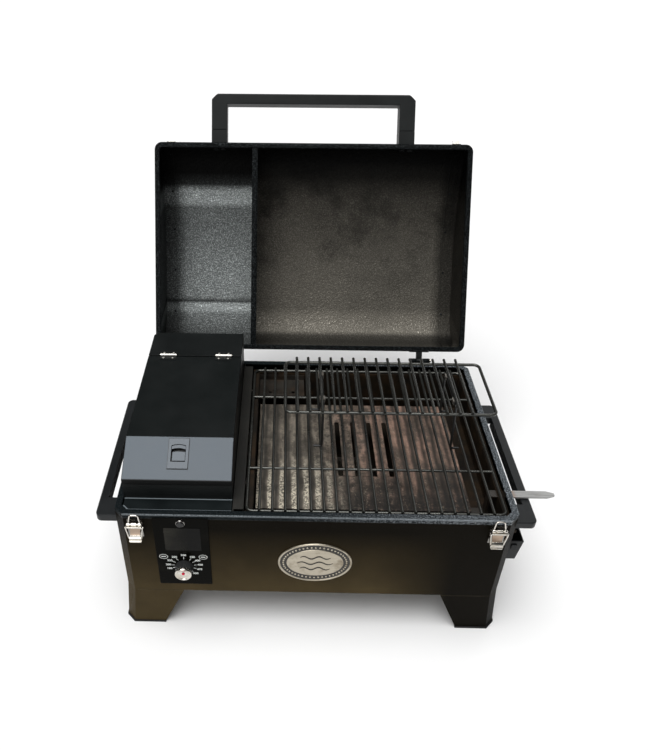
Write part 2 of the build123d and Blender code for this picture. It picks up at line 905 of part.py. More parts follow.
def make_hopper_bin():
    t = hopper_sheet
    x0 = hopper_left
    x1 = hopper_right
    y0 = hopper_front
    y1 = hopper_rear
    lower = rim_z - hopper_skirt_drop
    under = hopper_top - t - seat_gap
    profile = [
        (y0, lower), (y1, lower), (y1, under), (hopper_bend_y, under),
        (y0, rim_z + hopper_nose_rise - t - seat_gap),
    ]
    inside = [
        (y0 + t, lower - 1), (y1 - t, lower - 1), (y1 - t, hopper_top + 9), (y0 + t, hopper_top + 9),
    ]
    bin_body = hopper_corner(along_x(polygon(profile), x0, x1), 0)
    bin_body -= hopper_corner(along_x(polygon(inside), x0 + t, x1 - t), t)
    tube_top = auger_z + tube_r

    def funnel(grow):
        upper = block_face(x0 + t - grow, x1 - t + grow, y0 + t - grow, y1 - t + grow)
        near = auger_y - outlet_y / 2 - grow
        far = auger_y + outlet_y / 2 + grow
        outlet = block_face(outlet_left - grow, outlet_right + grow, near, far)
        return upper, outlet

    upper, outlet = funnel(t)
    cone = loft([Pos(0, 0, tube_top + 2) * outlet, Pos(0, 0, lower) * upper])
    cone += along_z(outlet, auger_z + tube_r / 2, tube_top + 2)
    upper, outlet = funnel(0)
    hollow = loft([Pos(0, 0, tube_top + 2) * outlet, Pos(0, 0, lower + 0.01) * upper])
    hollow += along_z(outlet, auger_z, tube_top + 2)
    bin_body += cone - hollow
    bin_body -= rod_x(x0 - 1, x1 + 1, auger_y, auger_z, tube_r + seat_gap)
    return bin_body


def block_face(x0, x1, y0, y1):
    return polygon([(x0, y0), (x1, y0), (x1, y1), (x0, y1)])


def make_guard():
    """The wire finger guard across the hopper bin, above its funnel."""
    z = rim_z - hopper_skirt_drop + 6
    t = hopper_sheet
    x0 = hopper_left + t + seat_gap
    x1 = hopper_right - t - seat_gap
    y0 = hopper_front + t + seat_gap
    y1 = hopper_rear - t - seat_gap
    guard = Part() + [rod_y(x0 + (x1 - x0) * (i + 0.5) / 6, y0, y1, z, 1.5) for i in range(6)]
    for y in (y0 + 30, (y0 + y1) / 2, y1 - 30):
        guard += rod_x(x0, x1, y, z - 2.2, 1.5)
    return guard


def make_auger_tube():
    x1 = pot_x - pot_side / 2 + pot_sheet
    tube = rod_x(outlet_left - 5, x1, auger_y, auger_z, tube_r)
    tube -= rod_x(outlet_left - 6, x1 + 1, auger_y, auger_z, tube_r - tube_wall)
    tube -= block(
        outlet_left + 1, outlet_right - 1, auger_y - 16, auger_y + 16,
        auger_z + 5, auger_z + 2 * tube_r,
    )
    return tube


def make_auger_bearing():
    """The plate that closes the tube's outer end and carries the screw's shaft."""
    x0 = outlet_left - 9
    x1 = x0 + bearing_t
    plate = rod_x(x0, x1, auger_y, auger_z, tube_r + 3)
    plate -= rod_x(x0 - 1, x1 + 1, auger_y, auger_z, auger_shaft_r + pin_clear)
    plate += block(x0, x1, auger_y - 18, auger_y + 18, pan_top, auger_z - tube_r - 1)
    return plate


def make_auger():
    x1 = pot_x - pot_side / 2 - 4
    screw = rod_x(outlet_left - motor_gap, x1, auger_y, auger_z, auger_shaft_r)
    root = auger_shaft_r - 0.5
    outer = tube_r - tube_wall - flight_clear
    path = Helix(auger_pitch, x1 - outlet_left - 4, (root + outer) / 2)
    start = Plane(origin=path @ 0, x_dir=(1, 0, 0), z_dir=path % 0)
    flight = sweep(start * Rectangle(outer - root, flight_t), path=path, is_frenet=True)
    return screw + Pos(outlet_left, auger_y, auger_z) * Rot(0, 90, 0) * flight


def make_auger_motor():
    x1 = outlet_left - motor_gap - seat_gap
    x0 = x1 - motor_t
    motor = rod_x(x0, x1, auger_y, auger_z, motor_r)
    motor += block(x0 + 2, x1 - 2, auger_y - 12, auger_y + 46, auger_z - 20, auger_z + 16)
    motor += block(x0 + 2, x1 - 2, auger_y - 14, auger_y + 14, pan_top, auger_z - 10)
    return motor


# ---------------------------------------------------------------- fan
def make_fan_housing():
    s = fan_side / 2
    z0 = pan_top
    housing = block(fan_x - s, fan_x + s, fan_y - s, fan_y + s, z0, z0 + fan_h)
    housing -= rod_z(fan_x, fan_y, z0 - 1, z0 + fan_h + 1, s - 2.5)
    for i in range(3):
        spoke = Pos(s / 2, 0, 0) * Box(s, 4, 3)
        housing += Pos(fan_x, fan_y, z0 + 1.5) * Rot(0, 0, 120 * i + 30) * spoke
    housing += rod_z(fan_x, fan_y, z0, z0 + 3, 8)
    housing += rod_z(fan_x, fan_y, z0 + 3, z0 + fan_h - 3, fan_pin_r)
    return housing


def make_impeller():
    s = fan_side / 2
    z0 = pan_top + 3 + seat_gap
    z1 = pan_top + fan_h - 2
    wheel = rod_z(fan_x, fan_y, z0, z1, 10)
    for i in range(7):
        blade = Pos((s + 5) / 2, 0, 0) * Rot(35, 0, 0) * Box(s - 13, 15, 1.5)
        wheel += Pos(fan_x, fan_y, (z0 + z1) / 2) * Rot(0, 0, 360 / 7 * i) * blade
    wheel -= rod_z(fan_x, fan_y, z0 - 1, z1 - 1, fan_pin_r + pin_clear)
    return wheel


# ---------------------------------------------------------------- hopper cover
def hopper_slope_point(along, out):
    """(y, z) of a point on the sloping front: distance down from the bend, and height off the face."""
    y = hopper_bend_y - along * cos(slope_rad) - out * sin(slope_rad)
    z = hopper_top - along * sin(slope_rad) + out * cos(slope_rad)
    return y, z


def slope_block(x0, x1, a0, a1, low, high):
    corners = [(a0, low), (a0, high), (a1, high), (a1, low)]
    return along_x(polygon([hopper_slope_point(a, h) for a, h in corners]), x0, x1)


def make_hopper_lid():
    line = [
        (hopper_hinge_y - hopper_edge_gap, hopper_top), (hopper_bend_y, hopper_top),
        (hopper_nose_y, rim_z + hopper_nose_rise),
        (hopper_nose_y, rim_z + hopper_nose_rise - hopper_lip_h),
    ]
    lid = along_x(folded(line, hopper_sheet), hopper_left, hopper_right)
    half = latch_plate_w / 2 - 1.5
    lid -= slope_block(
        hopper_mid_x - half, hopper_mid_x + half,
        latch_plate_drop + 1.5, latch_plate_drop + latch_plate_h - 1.5, -9, 9,
    )
    return lid


def make_hopper_cover():
    line = [(hopper_rear, hopper_top), (hopper_hinge_y + hopper_edge_gap, hopper_top)]
    return hopper_corner(along_x(folded(line, hopper_sheet), hopper_left, hopper_right), 0)


def make_latch_frame():
    """The frame let into the hopper lid's slope, with the channel that the thumb slide runs in."""
    half = latch_plate_w / 2
    a0 = latch_plate_drop
    a1 = latch_plate_drop + latch_plate_h
    frame = slope_block(hopper_mid_x - half, hopper_mid_x + half, a0, a1, 0, 0.8)
    frame += slope_block(hopper_mid_x - half + 2, hopper_mid_x + half - 2, a0 + 2, a1 - 2, -7, 0.8)
    frame -= slope_block(hopper_mid_x - half + 4, hopper_mid_x + half - 4, a0 + 4, a1 - 4, -5.5, 2)
    return frame


def make_thumb_slide():
    """The slide with its arched finger recess; it runs down the slope to let the lid go."""
    half = latch_plate_w / 2 - 4 - seat_gap
    a0 = latch_plate_drop + 4 + seat_gap
    a1 = latch_plate_drop + latch_plate_h - 4 - seat_gap - thumb_travel
    slide = slope_block(hopper_mid_x - half, hopper_mid_x + half, a0, a1, -5.5 + seat_gap, 0.4)
    slide -= slope_block(hopper_mid_x - half + 2, hopper_mid_x + half - 2, a0 + 8, a0 + 20, -3.5, 2)
    return slide


def small_hinge_centres():
    return [hopper_mid_x - small_hinge_left, hopper_mid_x + small_hinge_right]


def rivet_places(side):
    """Centres of the rivets on one side of the hopper's hinge line: -1 on the lid, 1 on the cover."""
    places = []
    for x in small_hinge_centres():
        for dx in (-rivet_dx, rivet_dx):
            places.append((x + dx, hopper_hinge_y + side * (small_knuckle_r + small_leaf_w / 2)))
    return places


def make_small_leaves(moving):
    """Both leaves on one side, with the knuckles that belong to them."""
    side = -1 if moving else 1
    leaves = []
    for x in small_hinge_centres():
        third = small_hinge_w / 3
        spans = [(-third / 2 + 0.2, third / 2 - 0.2)]
        if not moving:
            spans = [(-small_hinge_w / 2, -third / 2), (third / 2, small_hinge_w / 2)]
        y0 = hopper_hinge_y
        z0 = hopper_top
        leaf = Part()
        for a, b in spans:
            leaf += rod_x(x + a, x + b, y0, hopper_pivot_z, small_knuckle_r)
        reach = small_knuckle_r + small_leaf_w
        y_in = y0 + side * (small_knuckle_r + 0.5)
        y_out = y0 + side * reach
        low, high = sorted((y_in, y_out))
        leaf += block(x - small_hinge_w / 2, x + small_hinge_w / 2, low, high, z0, z0 + 0.8)
        for a, b in spans:
            low, high = sorted((y0 + side * 0.8, y_out))
            leaf += block(x + a, x + b, low, high, z0 + 0.05, z0 + 0.8)
        bore = small_pin_r + pin_clear
        leaf -= rod_x(x - small_hinge_w, x + small_hinge_w, y0, hopper_pivot_z, bore)
        leaves.append(leaf)
    return leaves


def make_small_pins():
    pins = []
    for x in small_hinge_centres():
        half = small_hinge_w / 2 + 0.8
        pins.append(rod_x(x - half, x + half, hopper_hinge_y, hopper_pivot_z, small_pin_r))
    return pins


def make_small_rivets(side):
    stand = (Align.CENTER, Align.CENTER, Align.MIN)
    head = Cone(rivet_r, rivet_r * 0.55, rivet_h, align=stand)
    return [Pos(x, y, hopper_top + 0.8) * head for x, y in rivet_places(side)]


# ---------------------------------------------------------------- grates
def make_main_grate():
    """A bent outer rail and two cross rods, with the bars welded across on top."""
    x0 = grate_left
    x1 = grate_right
    grate = wire_loop(x0, x1, grate_front, grate_rear, rail_z, rail_r, grate_bend)
    for y in (cross_front_y, cross_rear_y):
        grate += rod_x(x0, x1, y, rail_z + rail_r - cross_r, cross_r)
    for i in range(1, grate_spaces):
        x = x0 + grate_pitch * i
        grate += rod_y(x, grate_front - rail_r, grate_rear + rail_r, grate_z, bar_r)
    return grate


def make_rack():
    rack = wire_loop(rack_left, rack_right, rack_front, rack_rear, rack_rail_z, rail_r, grate_bend)
    for i in range(1, rack_bars + 1):
        x = rack_left + rack_pitch * i
        rack += rod_y(x, rack_front - rail_r, rack_rear + rack_tail, rack_z, bar_r)
    return rack


def make_rack_leg(x, inward):
    """A wire frame: two posts, a top run held by the clips, and a hook at each foot."""
    foot_z = grate_z + bar_r + rack_leg_r + seat_gap
    lean = rack_leg_lean
    points = []
    points += [(x - inward * rack_hook, rack_leg_front - lean, foot_z)]
    points += [(x, rack_leg_front - lean, foot_z), (x, rack_leg_front, rack_leg_z)]
    points += [(x, rack_leg_rear, rack_leg_z), (x, rack_leg_rear - lean, foot_z)]
    points += [(x - inward * rack_hook, rack_leg_rear - lean, foot_z)]
    return bent_wire(points, rack_leg_r, 4)


def make_rack_clips():
    """Sheet clips that hang the leg frames' top runs under the rack's bars."""
    inner = rack_leg_r + pin_clear
    outer = inner + 1.2
    half = clip_w / 2
    clips = []
    for x in (rack_leg_left_x, rack_leg_right_x):
        bar_x = rack_left + rack_pitch * round((x - rack_left) / rack_pitch)
        low, high = sorted((x, bar_x))
        for y in (rack_leg_front + clip_in, rack_leg_rear - clip_in):
            strap = block(
                low - outer, high + outer, y - half, y + half,
                rack_leg_z - outer, rack_leg_z + outer - seat_gap,
            )
            strap -= rod_y(x, y - clip_w, y + clip_w, rack_leg_z, inner)
            strap -= rod_y(bar_x, y - clip_w, y + clip_w, rack_z, bar_r)
            clips.append(strap)
    return clips


# ---------------------------------------------------------------- lid
def lid_profile(inset, low):
    """The lid's side outline in (y, z), moved inwards, from a height above its lower edge."""
    top = lid_z + lid_h - inset
    front = inset
    rear = body_d - inset
    fall = (lid_h - lid_front_h) / lid_slope_y
    lean = sqrt(1 + fall ** 2)
    slope_top_y = lid_slope_y + inset * (lean - 1) / fall
    front_z = top - fall * (slope_top_y - front)
    points = [(front, low), (front, front_z), (slope_top_y, top), (rear, top), (rear, low)]
    radii = [0, lid_front_r - inset, lid_slope_r - inset, lid_rear_r - inset, 0]
    return rounded_face(points, radii)


def lid_solid(inset, low):
    """The lid's outside moved inwards: its profile run across, the four upright corners rounded off."""
    solid = along_x(lid_profile(inset, low), inset - half_w, half_w - inset)
    x = half_w - corner_cut
    y = body_d - corner_cut
    high = lid_z + lid_h + 1
    waste = block(x, half_w + 1, y, body_d + 1, low - 1, high)
    waste -= rod_z(x, y, low - 2, high + 1, corner_cut - inset)
    middle = Plane((0, body_d / 2, 0), z_dir=(0, 1, 0))
    for corner in (waste, mirror(waste, Plane.YZ)):
        solid -= corner
        solid -= mirror(corner, middle)
    return solid


def lid_layer(outside, inside, low):
    return lid_solid(outside, low) - lid_solid(inside, low - 1)


def handle_screw_places():
    x = handle_w / 2 - handle_arm_w / 2
    return [(sx * x + dx, handle_rise + 7) for sx in (-1, 1) for dx in (-7, 7)]


def make_lid_skin():
    low = lid_z + lid_sheet
    skin = lid_layer(0, lid_sheet, low) & block(-lid_lap_x, lid_lap_x, -1, body_d + 1, low, low + 2 * lid_h)
    for x, rise in handle_screw_places():
        skin -= rod_y(x, -9, 14, lid_z + rise, 2.5 + hole_clear)
    return skin


def make_lid_end(side):
    low = lid_z + lid_sheet
    high = low + 2 * lid_h
    panel = lid_layer(0, lid_sheet, low) & block(lid_lap_x, half_w + 1, -1, body_d + 1, low, high)
    lap = block(lid_lap_x - lid_lap_w, lid_lap_x + 2, -1, body_d + 1, low, high)
    panel += lid_layer(lid_sheet, 2 * lid_sheet, low + lid_flange_h) & lap
    if side < 0:
        panel = mirror(panel, Plane.YZ)
    return panel


def make_lid_rim():
    z0 = lid_z
    rim = along_z(round_corner_plan(0), z0, z0 + lid_sheet)
    rim -= along_z(round_corner_plan(lid_flange_w), z0 - 1, z0 + lid_sheet + 1)
    lip = along_z(round_corner_plan(lid_flange_w - lid_sheet), z0, z0 + lid_flange_h)
    lip -= along_z(round_corner_plan(lid_flange_w), z0 - 1, z0 + lid_flange_h + 1)
    return rim + lip


def make_partition():
    gap = lid_sheet + 0.1
    x0 = partition_x
    x1 = x0 + lid_sheet
    clear = lid_flange_w + seat_gap
    web = along_x(lid_profile(gap, lid_z + lid_flange_h + seat_gap), x0, x1)
    web += block(x0, x1, clear, body_d - clear, lid_z + lid_sheet, lid_z + lid_flange_h + 1)
    foot_x = x0 + lid_sheet / 2
    web += block(
        foot_x - partition_foot_w / 2, foot_x + partition_foot_w / 2, clear, body_d - clear,
        lid_z, lid_z + lid_sheet,
    )
    return web


def make_lid_handle():
    """The U of the handle; its outer corners and long edges are bevelled."""
    half = handle_w / 2
    y0 = -handle_reach
    y1 = -handle_post_reach - seat_gap
    z0 = lid_z + handle_rise
    z1 = z0 + handle_h
    c = handle_corner
    arm = half - handle_arm_w
    bar = y0 + handle_bar_t
    outline = polygon([
        (-half, y1), (-half, y0 + c), (c - half, y0), (half - c, y0), (half, y0 + c), (half, y1),
        (arm, y1), (arm, bar), (-arm, bar), (-arm, y1),
    ])
    handle = along_z(outline, z0, z1)
    edges = handle.edges().filter_by(lambda e: abs(e.center().Y - y0) < 0.1 and e.length > half)
    handle = chamfer(edges, 2.5)
    return handle


def make_handle_post(side):
    half = handle_w / 2
    z0 = lid_z + handle_rise
    post = block(half - handle_arm_w, half, -handle_post_reach, 40, z0, z0 + handle_h)
    if side < 0:
        post = mirror(post, Plane.YZ)
    post -= lid_solid(0, lid_z)
    for x, rise in handle_screw_places():
        post -= rod_y(x, -22, 14, lid_z + rise, 2.5)
    return post


def make_handle_screws():
    inner_y = lid_sheet + lid_front_r - sqrt(lid_front_r ** 2 - 14 ** 2)
    screws = []
    for x, rise in handle_screw_places():
        head = rod_y(x, 0, inner_y + 3, lid_z + rise, 5) - lid_layer(-1, lid_sheet, lid_z)
        shank = rod_y(x, -20, inner_y + 1, lid_z + rise, 2.5)
        screws.append(head + shank)
    return screws


# ---------------------------------------------------------------- lid hinges
def hinge_knuckles(x, spans):
    knuckles = Part()
    for a, b in spans:
        knuckles += rod_x(x + a, x + b, lid_pivot_y, lid_pivot_z, knuckle_r)
    return knuckles


def hinge_spans(moving):
    third = hinge_w / 3
    if moving:
        return [(seat_gap - third / 2, third / 2 - seat_gap)]
    return [(-hinge_w / 2, -third / 2), (third / 2, hinge_w / 2)]


def make_base_leaf(x):
    """The leaf on the rear wall: a plate and an arm out to the two outer knuckles."""
    y0 = body_d
    z0 = lid_pivot_z - leaf_t / 2
    leaf = block(x - hinge_w / 2, x + hinge_w / 2, y0, y0 + leaf_t, z0 - leaf_h, z0 + leaf_t)
    for a, b in hinge_spans(False):
        leaf += block(x + a, x + b, y0, lid_pivot_y, z0, z0 + leaf_t)
    leaf += hinge_knuckles(x, hinge_spans(False))
    leaf -= rod_x(x - hinge_w, x + hinge_w, lid_pivot_y, lid_pivot_z, hinge_pin_r + pin_clear)
    return leaf


def make_lid_leaf(x):
    """The leaf on the lid's rear wall, as it lies when closed: plate, arm and middle knuckle."""
    y0 = body_d
    z0 = lid_z + lid_sheet
    a, b = hinge_spans(True)[0]
    leaf = block(x - hinge_w / 2, x + hinge_w / 2, y0, y0 + leaf_t, z0, z0 + leaf_h)
    leaf += block(x + a, x + b, y0, lid_pivot_y + leaf_t / 2, z0, z0 + leaf_t)
    leaf += block(x + a, x + b, lid_pivot_y - leaf_t / 2, lid_pivot_y + leaf_t / 2, lid_pivot_z, z0 + leaf_t)
    leaf += hinge_knuckles(x, hinge_spans(True))
    leaf -= rod_x(x - hinge_w, x + hinge_w, lid_pivot_y, lid_pivot_z, hinge_pin_r + pin_clear)
    return leaf


def make_hinge_pin(x):
    half = hinge_w / 2
    pin = rod_x(x - half - 1, x + half + 1, lid_pivot_y, lid_pivot_z, hinge_pin_r)
    head_r = hinge_pin_r + 1.2
    pin += rod_x(x - half - 2.5, x - half - 0.5, lid_pivot_y, lid_pivot_z, head_r)
    pin += rod_x(x + half + 0.5, x + half + 2.5, lid_pivot_y, lid_pivot_z, head_r)
    return pin


# ---------------------------------------------------------------- draw latches
def make_latch_base(x):
    """A plate on the front wall with two round-ended ears for the lever's pin."""
    half = latch_w / 2
    base = block(x - half, x + half, -latch_sheet, 0, rim_z - latch_bottom_drop, rim_z - latch_top_drop)
    for s in (-1, 1):
        low, high = sorted((x + s * half, x + s * (half - latch_sheet)))
        base += block(low, high, -latch_pivot_out, 0, latch_z - latch_ear_r, latch_z + latch_ear_r)
        base += rod_x(low, high, -latch_pivot_out, latch_z, latch_ear_r)
    base -= rod_x(x - half - 1, x + half + 1, -latch_pivot_out, latch_z, latch_pin_r)
    return base


def make_latch_pin(x):
    half = lever_w / 2 + 0.2
    return rod_x(x - half, x + half, -latch_pivot_out, latch_z, latch_pin_r)


def make_lever(x):
    """The lever: a tapering front plate, two cheeks round the ears and a curled lower end."""
    top = latch_z + lever_top
    low = rim_z - lever_drop
    y_face = -latch_pivot_out - lever_face_out
    t = latch_sheet
    wide = lever_w / 2
    narrow = lever_foot_w / 2
    outline = polygon([(x - wide, top), (x + wide, top), (x + narrow, low), (x - narrow, low)])
    lever = along_y(outline, y_face, y_face + t)
    slot_in = latch_w / 2 - 2 * t + seat_gap / 2
    for s in (-1, 1):
        near, far = sorted((x + s * slot_in, x + s * (wide - t)))
        lever -= block(near, far, y_face - 1, y_face + t + 1, latch_z - lever_slot_drop, top + 1)
        near, far = sorted((x + s * wide, x + s * (wide - t)))
        lever += block(near, far, y_face, 3.4 - latch_pivot_out, latch_z - lever_cheek_h, top)
    curl_y = y_face - 1.4
    curl = rod_x(x - narrow, x + narrow, curl_y, low, 2.6)
    curl -= rod_x(x - narrow - 1, x + narrow + 1, curl_y, low, 2.6 - t)
    curl -= block(x - wide, x + wide, curl_y - 8, curl_y, low, low + 9)
    lever += curl
    lever -= rod_x(x - wide - 1, x + wide + 1, -latch_pivot_out, latch_z, latch_pin_r + pin_clear)
    for s in (-1, 1):
        edge = x + s * (wide - t / 2)
        lever -= rod_x(edge - t, edge + t, -latch_pivot_out, latch_z - bail_pivot_below, bail_r + pin_clear)
    return lever


def make_bail(x):
    """The wire loop that hooks over the lid's catch, its ends turned into the lever's cheeks."""
    z0 = latch_z - bail_pivot_below
    z1 = rim_z - 1.5 - bail_r
    out = lever_w / 2 + bail_r + 0.6
    tip = bail_w / 2
    y = -latch_pivot_out
    points = [
        (x - lever_w / 2 + 0.2, y, z0), (x - out, y, z0), (x - out, y, latch_z + 5), (x - tip, y, z1),
        (x + tip, y, z1), (x + out, y, latch_z + 5), (x + out, y, z0), (x + lever_w / 2 - 0.2, y, z0),
    ]
    return bent_wire(points, bail_r, 1.5)


def make_catch(x):
    """The hook on the lid's front wall, as it lies when closed."""
    z0 = lid_z + 3
    plate = block(x - 8, x + 8, -1.5, 0, z0, z0 + 15)
    hook = along_x(polygon([(-1.5, z0 + 4), (-8, z0 + 7), (-8, z0 + 9), (-1.5, z0 + 6.5)]), x - 6, x + 6)
    return plate + hook


# ---------------------------------------------------------------- control panel
def make_panel():
    z0 = rim_z - panel_drop - panel_h
    panel = block(panel_left, panel_left + panel_w, -panel_t, 0, z0, z0 + panel_h)
    panel = chamfer(panel.edges().group_by(Axis.Y)[0], 0.6)
    panel -= rod_y(knob_x, -9, 9, knob_z, knob_shaft_r + 0.5)
    panel -= rod_y(knob_x, -9, 9, button_z, button_r + pin_clear)
    return panel


def make_button():
    cap = rod_y(knob_x, -panel_t - 3, 3.5, button_z, button_r)
    cap = fillet(cap.edges().group_by(Axis.Y)[0], 1.6)
    return cap + rod_y(knob_x, button_travel + 1, button_travel + 2.5, button_z, button_r + 0.7)


def make_knob_skirt():
    y1 = -panel_t - 0.6
    y0 = -knob_out + 5
    skirt = rod_y(knob_x, y0, y1, knob_z, knob_r)
    for i in range(24):
        a = 2 * pi * i / 24
        skirt -= rod_y(knob_x + knob_r * cos(a), y0 - 1, y1 - 2, knob_z + knob_r * sin(a), 0.8)
    return skirt + rod_y(knob_x, y1 - 1, box_depth - 16, knob_z, knob_shaft_r)


def make_knob_cap():
    """The dished chrome face in front of the skirt."""
    y1 = -knob_out + 5
    cap = Pos(knob_x, y1, knob_z) * Rot(90, 0, 0) * Cone(
        knob_r, knob_r - 1.5, 5, align=(Align.CENTER, Align.CENTER, Align.MIN))
    dish = Pos(knob_x, y1 - 5 - 26, knob_z) * Sphere(28)
    return cap - dish


def make_knob_switch():
    y0 = box_depth - 24
    body = block(knob_x - 9, knob_x + 9, y0, y0 + 12, knob_z - 9, knob_z + 9)
    return body - rod_y(knob_x, y0 - 1, y0 + 8 + seat_gap, knob_z, knob_shaft_r + pin_clear)


def make_control_box():
    """The open-fronted plastic case behind the panel that holds the board."""
    x0 = panel_left + box_margin
    x1 = panel_right - box_margin
    z0 = rim_z - panel_drop - panel_h + box_margin
    z1 = rim_z - panel_drop - box_margin
    w = box_wall
    case = block(x0, x1, 0, box_depth, z0, z1)
    case -= block(x0 + w, x1 - w, -1, box_depth - w, z0 + w, z1 - w)
    case -= rod_y(knob_x, -1, 2 * button_travel + 5, button_z, button_r + 1)
    return case


def make_board():
    x0 = panel_left + box_margin + box_wall + 2
    x1 = panel_right - box_margin - box_wall - 2
    z0 = rim_z - panel_drop - panel_h + 9
    z1 = rim_z - panel_drop - 9
    y = box_depth - 12
    board = block(x0, x1, y, y + 1.6, z0, z1)
    for x, z in ((x0, z0), (x1, z0), (x0, z1), (x1, z1)):
        sx = 4 if x == x0 else -4
        sz = 4 if z == z0 else -4
        board += rod_y(x + sx, y + 1, box_depth - box_wall, z + sz, 2.5)
    board += block(x0 + 8, x0 + 28, y - 12, y, z0 + 4, z0 + 24)
    switch_y = 2 * button_travel + 2.5 + seat_gap
    board += block(knob_x - 6, knob_x + 6, switch_y, y, button_z - 8, button_z + 1)
    return board


def make_badge():
    plate = along_y(Pos(badge_x, rim_z - badge_drop) * Ellipse(badge_w / 2, badge_h / 2), -badge_t, 0)
    ring = Ellipse(badge_w / 2, badge_h / 2) - Ellipse(badge_w / 2 - 5, badge_h / 2 - 5)
    return plate + along_y(Pos(badge_x, rim_z - badge_drop) * ring, -badge_t - 1, -badge_t)


# ---------------------------------------------------------------- assembly
def build_base():
    keep("base_shell", make_base_shell())
    keep("floor_pan", make_floor_pan())
    keep("divider_wall", make_divider())
    keep("hopper_deck", make_hopper_deck())
    keep("power_inlet", make_power_inlet())
    corners = [(right, rear) for right in (False, True) for rear in (False, True)]
    keep("legs", Compound([make_leg(right, rear) for right, rear in corners]))
    keep("foot_strips", Compound([make_foot(right, rear) for right, rear in corners]))
    handles = [make_side_handle(side) for side in (-1, 1)]
    keep("side_handles", Compound(handles + make_side_handle_screws()))
    keep("badge_plate", make_badge())
    keep("cup_hanger", make_cup_hanger())
    keep("grease_cup", Compound([make_cup(), make_cup_clip()]))


def build_firebox():
    keep("firebox_liner", make_liner())
    keep("burn_pot", make_burn_pot())
    keep("burn_grate", make_burn_grate())
    keep("igniter_rod", make_igniter())
    keep("temperature_probe", make_probe())
    keep("broiler_plate", Compound([make_broiler_plate()] + make_plate_legs() + make_slider_guides()))
    keep("flame_slider", make_slider())
    keep("slider_strip", make_slider_strip())
    keep("grease_trough", make_trough())
    keep("rear_bracket", make_rear_bracket())
    keep("main_grate", make_main_grate())
    keep("upper_rack", make_rack())
    keep("rack_leg_left", make_rack_leg(rack_leg_left_x, 1))
    keep("rack_leg_right", make_rack_leg(rack_leg_right_x, -1))
    keep("rack_clips", Compound(make_rack_clips()))


def build_hopper():
    keep("hopper_bin", make_hopper_bin())
    keep("hopper_guard", make_guard())
    keep("hopper_cover", make_hopper_cover())
    keep("hopper_cover_leaves", Compound(make_small_leaves(False) + make_small_rivets(1)))
    keep("hopper_lid", make_hopper_lid())
    keep("hopper_lid_leaves", Compound(make_small_leaves(True) + make_small_rivets(-1)))
    keep("hopper_latch_frame", make_latch_frame())
    keep("hopper_thumb_slide", make_thumb_slide())
    keep("auger_tube", Compound([make_auger_tube(), make_auger_bearing()]))
    keep("auger_screw", make_auger())
    keep("auger_motor", make_auger_motor())
    keep("fan_housing", make_fan_housing())
    keep("fan_impeller", make_impeller())


def build_controls():
    keep("control_panel", make_panel())
    keep("control_box", make_control_box())
    keep("control_board", Compound([make_board(), make_knob_switch()]))
    keep("power_button", make_button())
    keep("knob_skirt", make_knob_skirt())
    keep("knob_cap", make_knob_cap())


def build_latches():
    keep("latch_bases", Compound([make_latch_base(side * latch_x) for side in (-1, 1)]))
    for name, side in (("left", -1), ("right", 1)):
        keep("latch_lever_" + name, make_lever(side * latch_x))
        keep("latch_bail_" + name, make_bail(side * latch_x))


def build_lid():
    hinges = (-hinge_x, hinge_x)
    keep("lid_hinge_base_leaves", Compound([make_base_leaf(x) for x in hinges]))
    pins = [make_hinge_pin(x) for x in hinges] + make_small_pins()
    keep("hinge_pins", Compound(pins + [make_latch_pin(side * latch_x) for side in (-1, 1)]))
    posts = [make_handle_post(side) for side in (-1, 1)]
    pieces = {
        "lid_skin": make_lid_skin(),
        "lid_end_panels": Compound([make_lid_end(side) for side in (-1, 1)]),
        "lid_rim": make_lid_rim(),
        "lid_partition": make_partition(),
        "lid_handle": make_lid_handle(),
        "lid_handle_posts": Compound(posts + make_handle_screws()),
        "lid_hinge_leaves": Compound([make_lid_leaf(x) for x in hinges]),
        "lid_catches": Compound([make_catch(side * latch_x) for side in (-1, 1)]),
    }
    for name, shape in pieces.items():
        keep(name, open_lid(shape))


build_base()
build_firebox()
build_hopper()
build_controls()
build_latches()
build_lid()

# The frame's origin: on the table, under the middle of the outline seen from above.
outline_box = Compound(list(PIECES.values())).bounding_box()
origin_x = (outline_box.min.X + outline_box.max.X) / 2
origin_y = (outline_box.min.Y + outline_box.max.Y) / 2
to_frame = Pos(-origin_x, -origin_y, 0)

os.makedirs("parts", exist_ok=True)
for name, shape in PIECES.items():
    export_step(to_frame * shape, "parts/" + name + ".step")
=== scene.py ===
from math import cos, pi, radians, sin

import bmesh
import bpy
from mathutils import Matrix, Vector
from mathutils.bvhtree import BVHTree


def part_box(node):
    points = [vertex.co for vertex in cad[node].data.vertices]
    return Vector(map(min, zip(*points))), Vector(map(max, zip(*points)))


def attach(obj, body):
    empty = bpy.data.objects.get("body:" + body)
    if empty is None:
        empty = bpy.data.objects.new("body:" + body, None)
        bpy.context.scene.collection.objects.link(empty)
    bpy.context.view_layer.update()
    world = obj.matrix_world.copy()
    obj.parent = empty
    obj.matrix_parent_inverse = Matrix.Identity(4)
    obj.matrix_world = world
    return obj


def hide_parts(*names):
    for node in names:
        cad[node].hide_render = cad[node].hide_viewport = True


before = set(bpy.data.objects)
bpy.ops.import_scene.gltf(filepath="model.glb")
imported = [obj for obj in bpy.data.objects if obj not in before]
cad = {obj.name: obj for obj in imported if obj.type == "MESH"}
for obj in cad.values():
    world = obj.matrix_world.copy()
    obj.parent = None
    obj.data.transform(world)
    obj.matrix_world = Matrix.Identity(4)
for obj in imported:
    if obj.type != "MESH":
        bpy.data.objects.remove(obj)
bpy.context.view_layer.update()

scene = bpy.context.scene


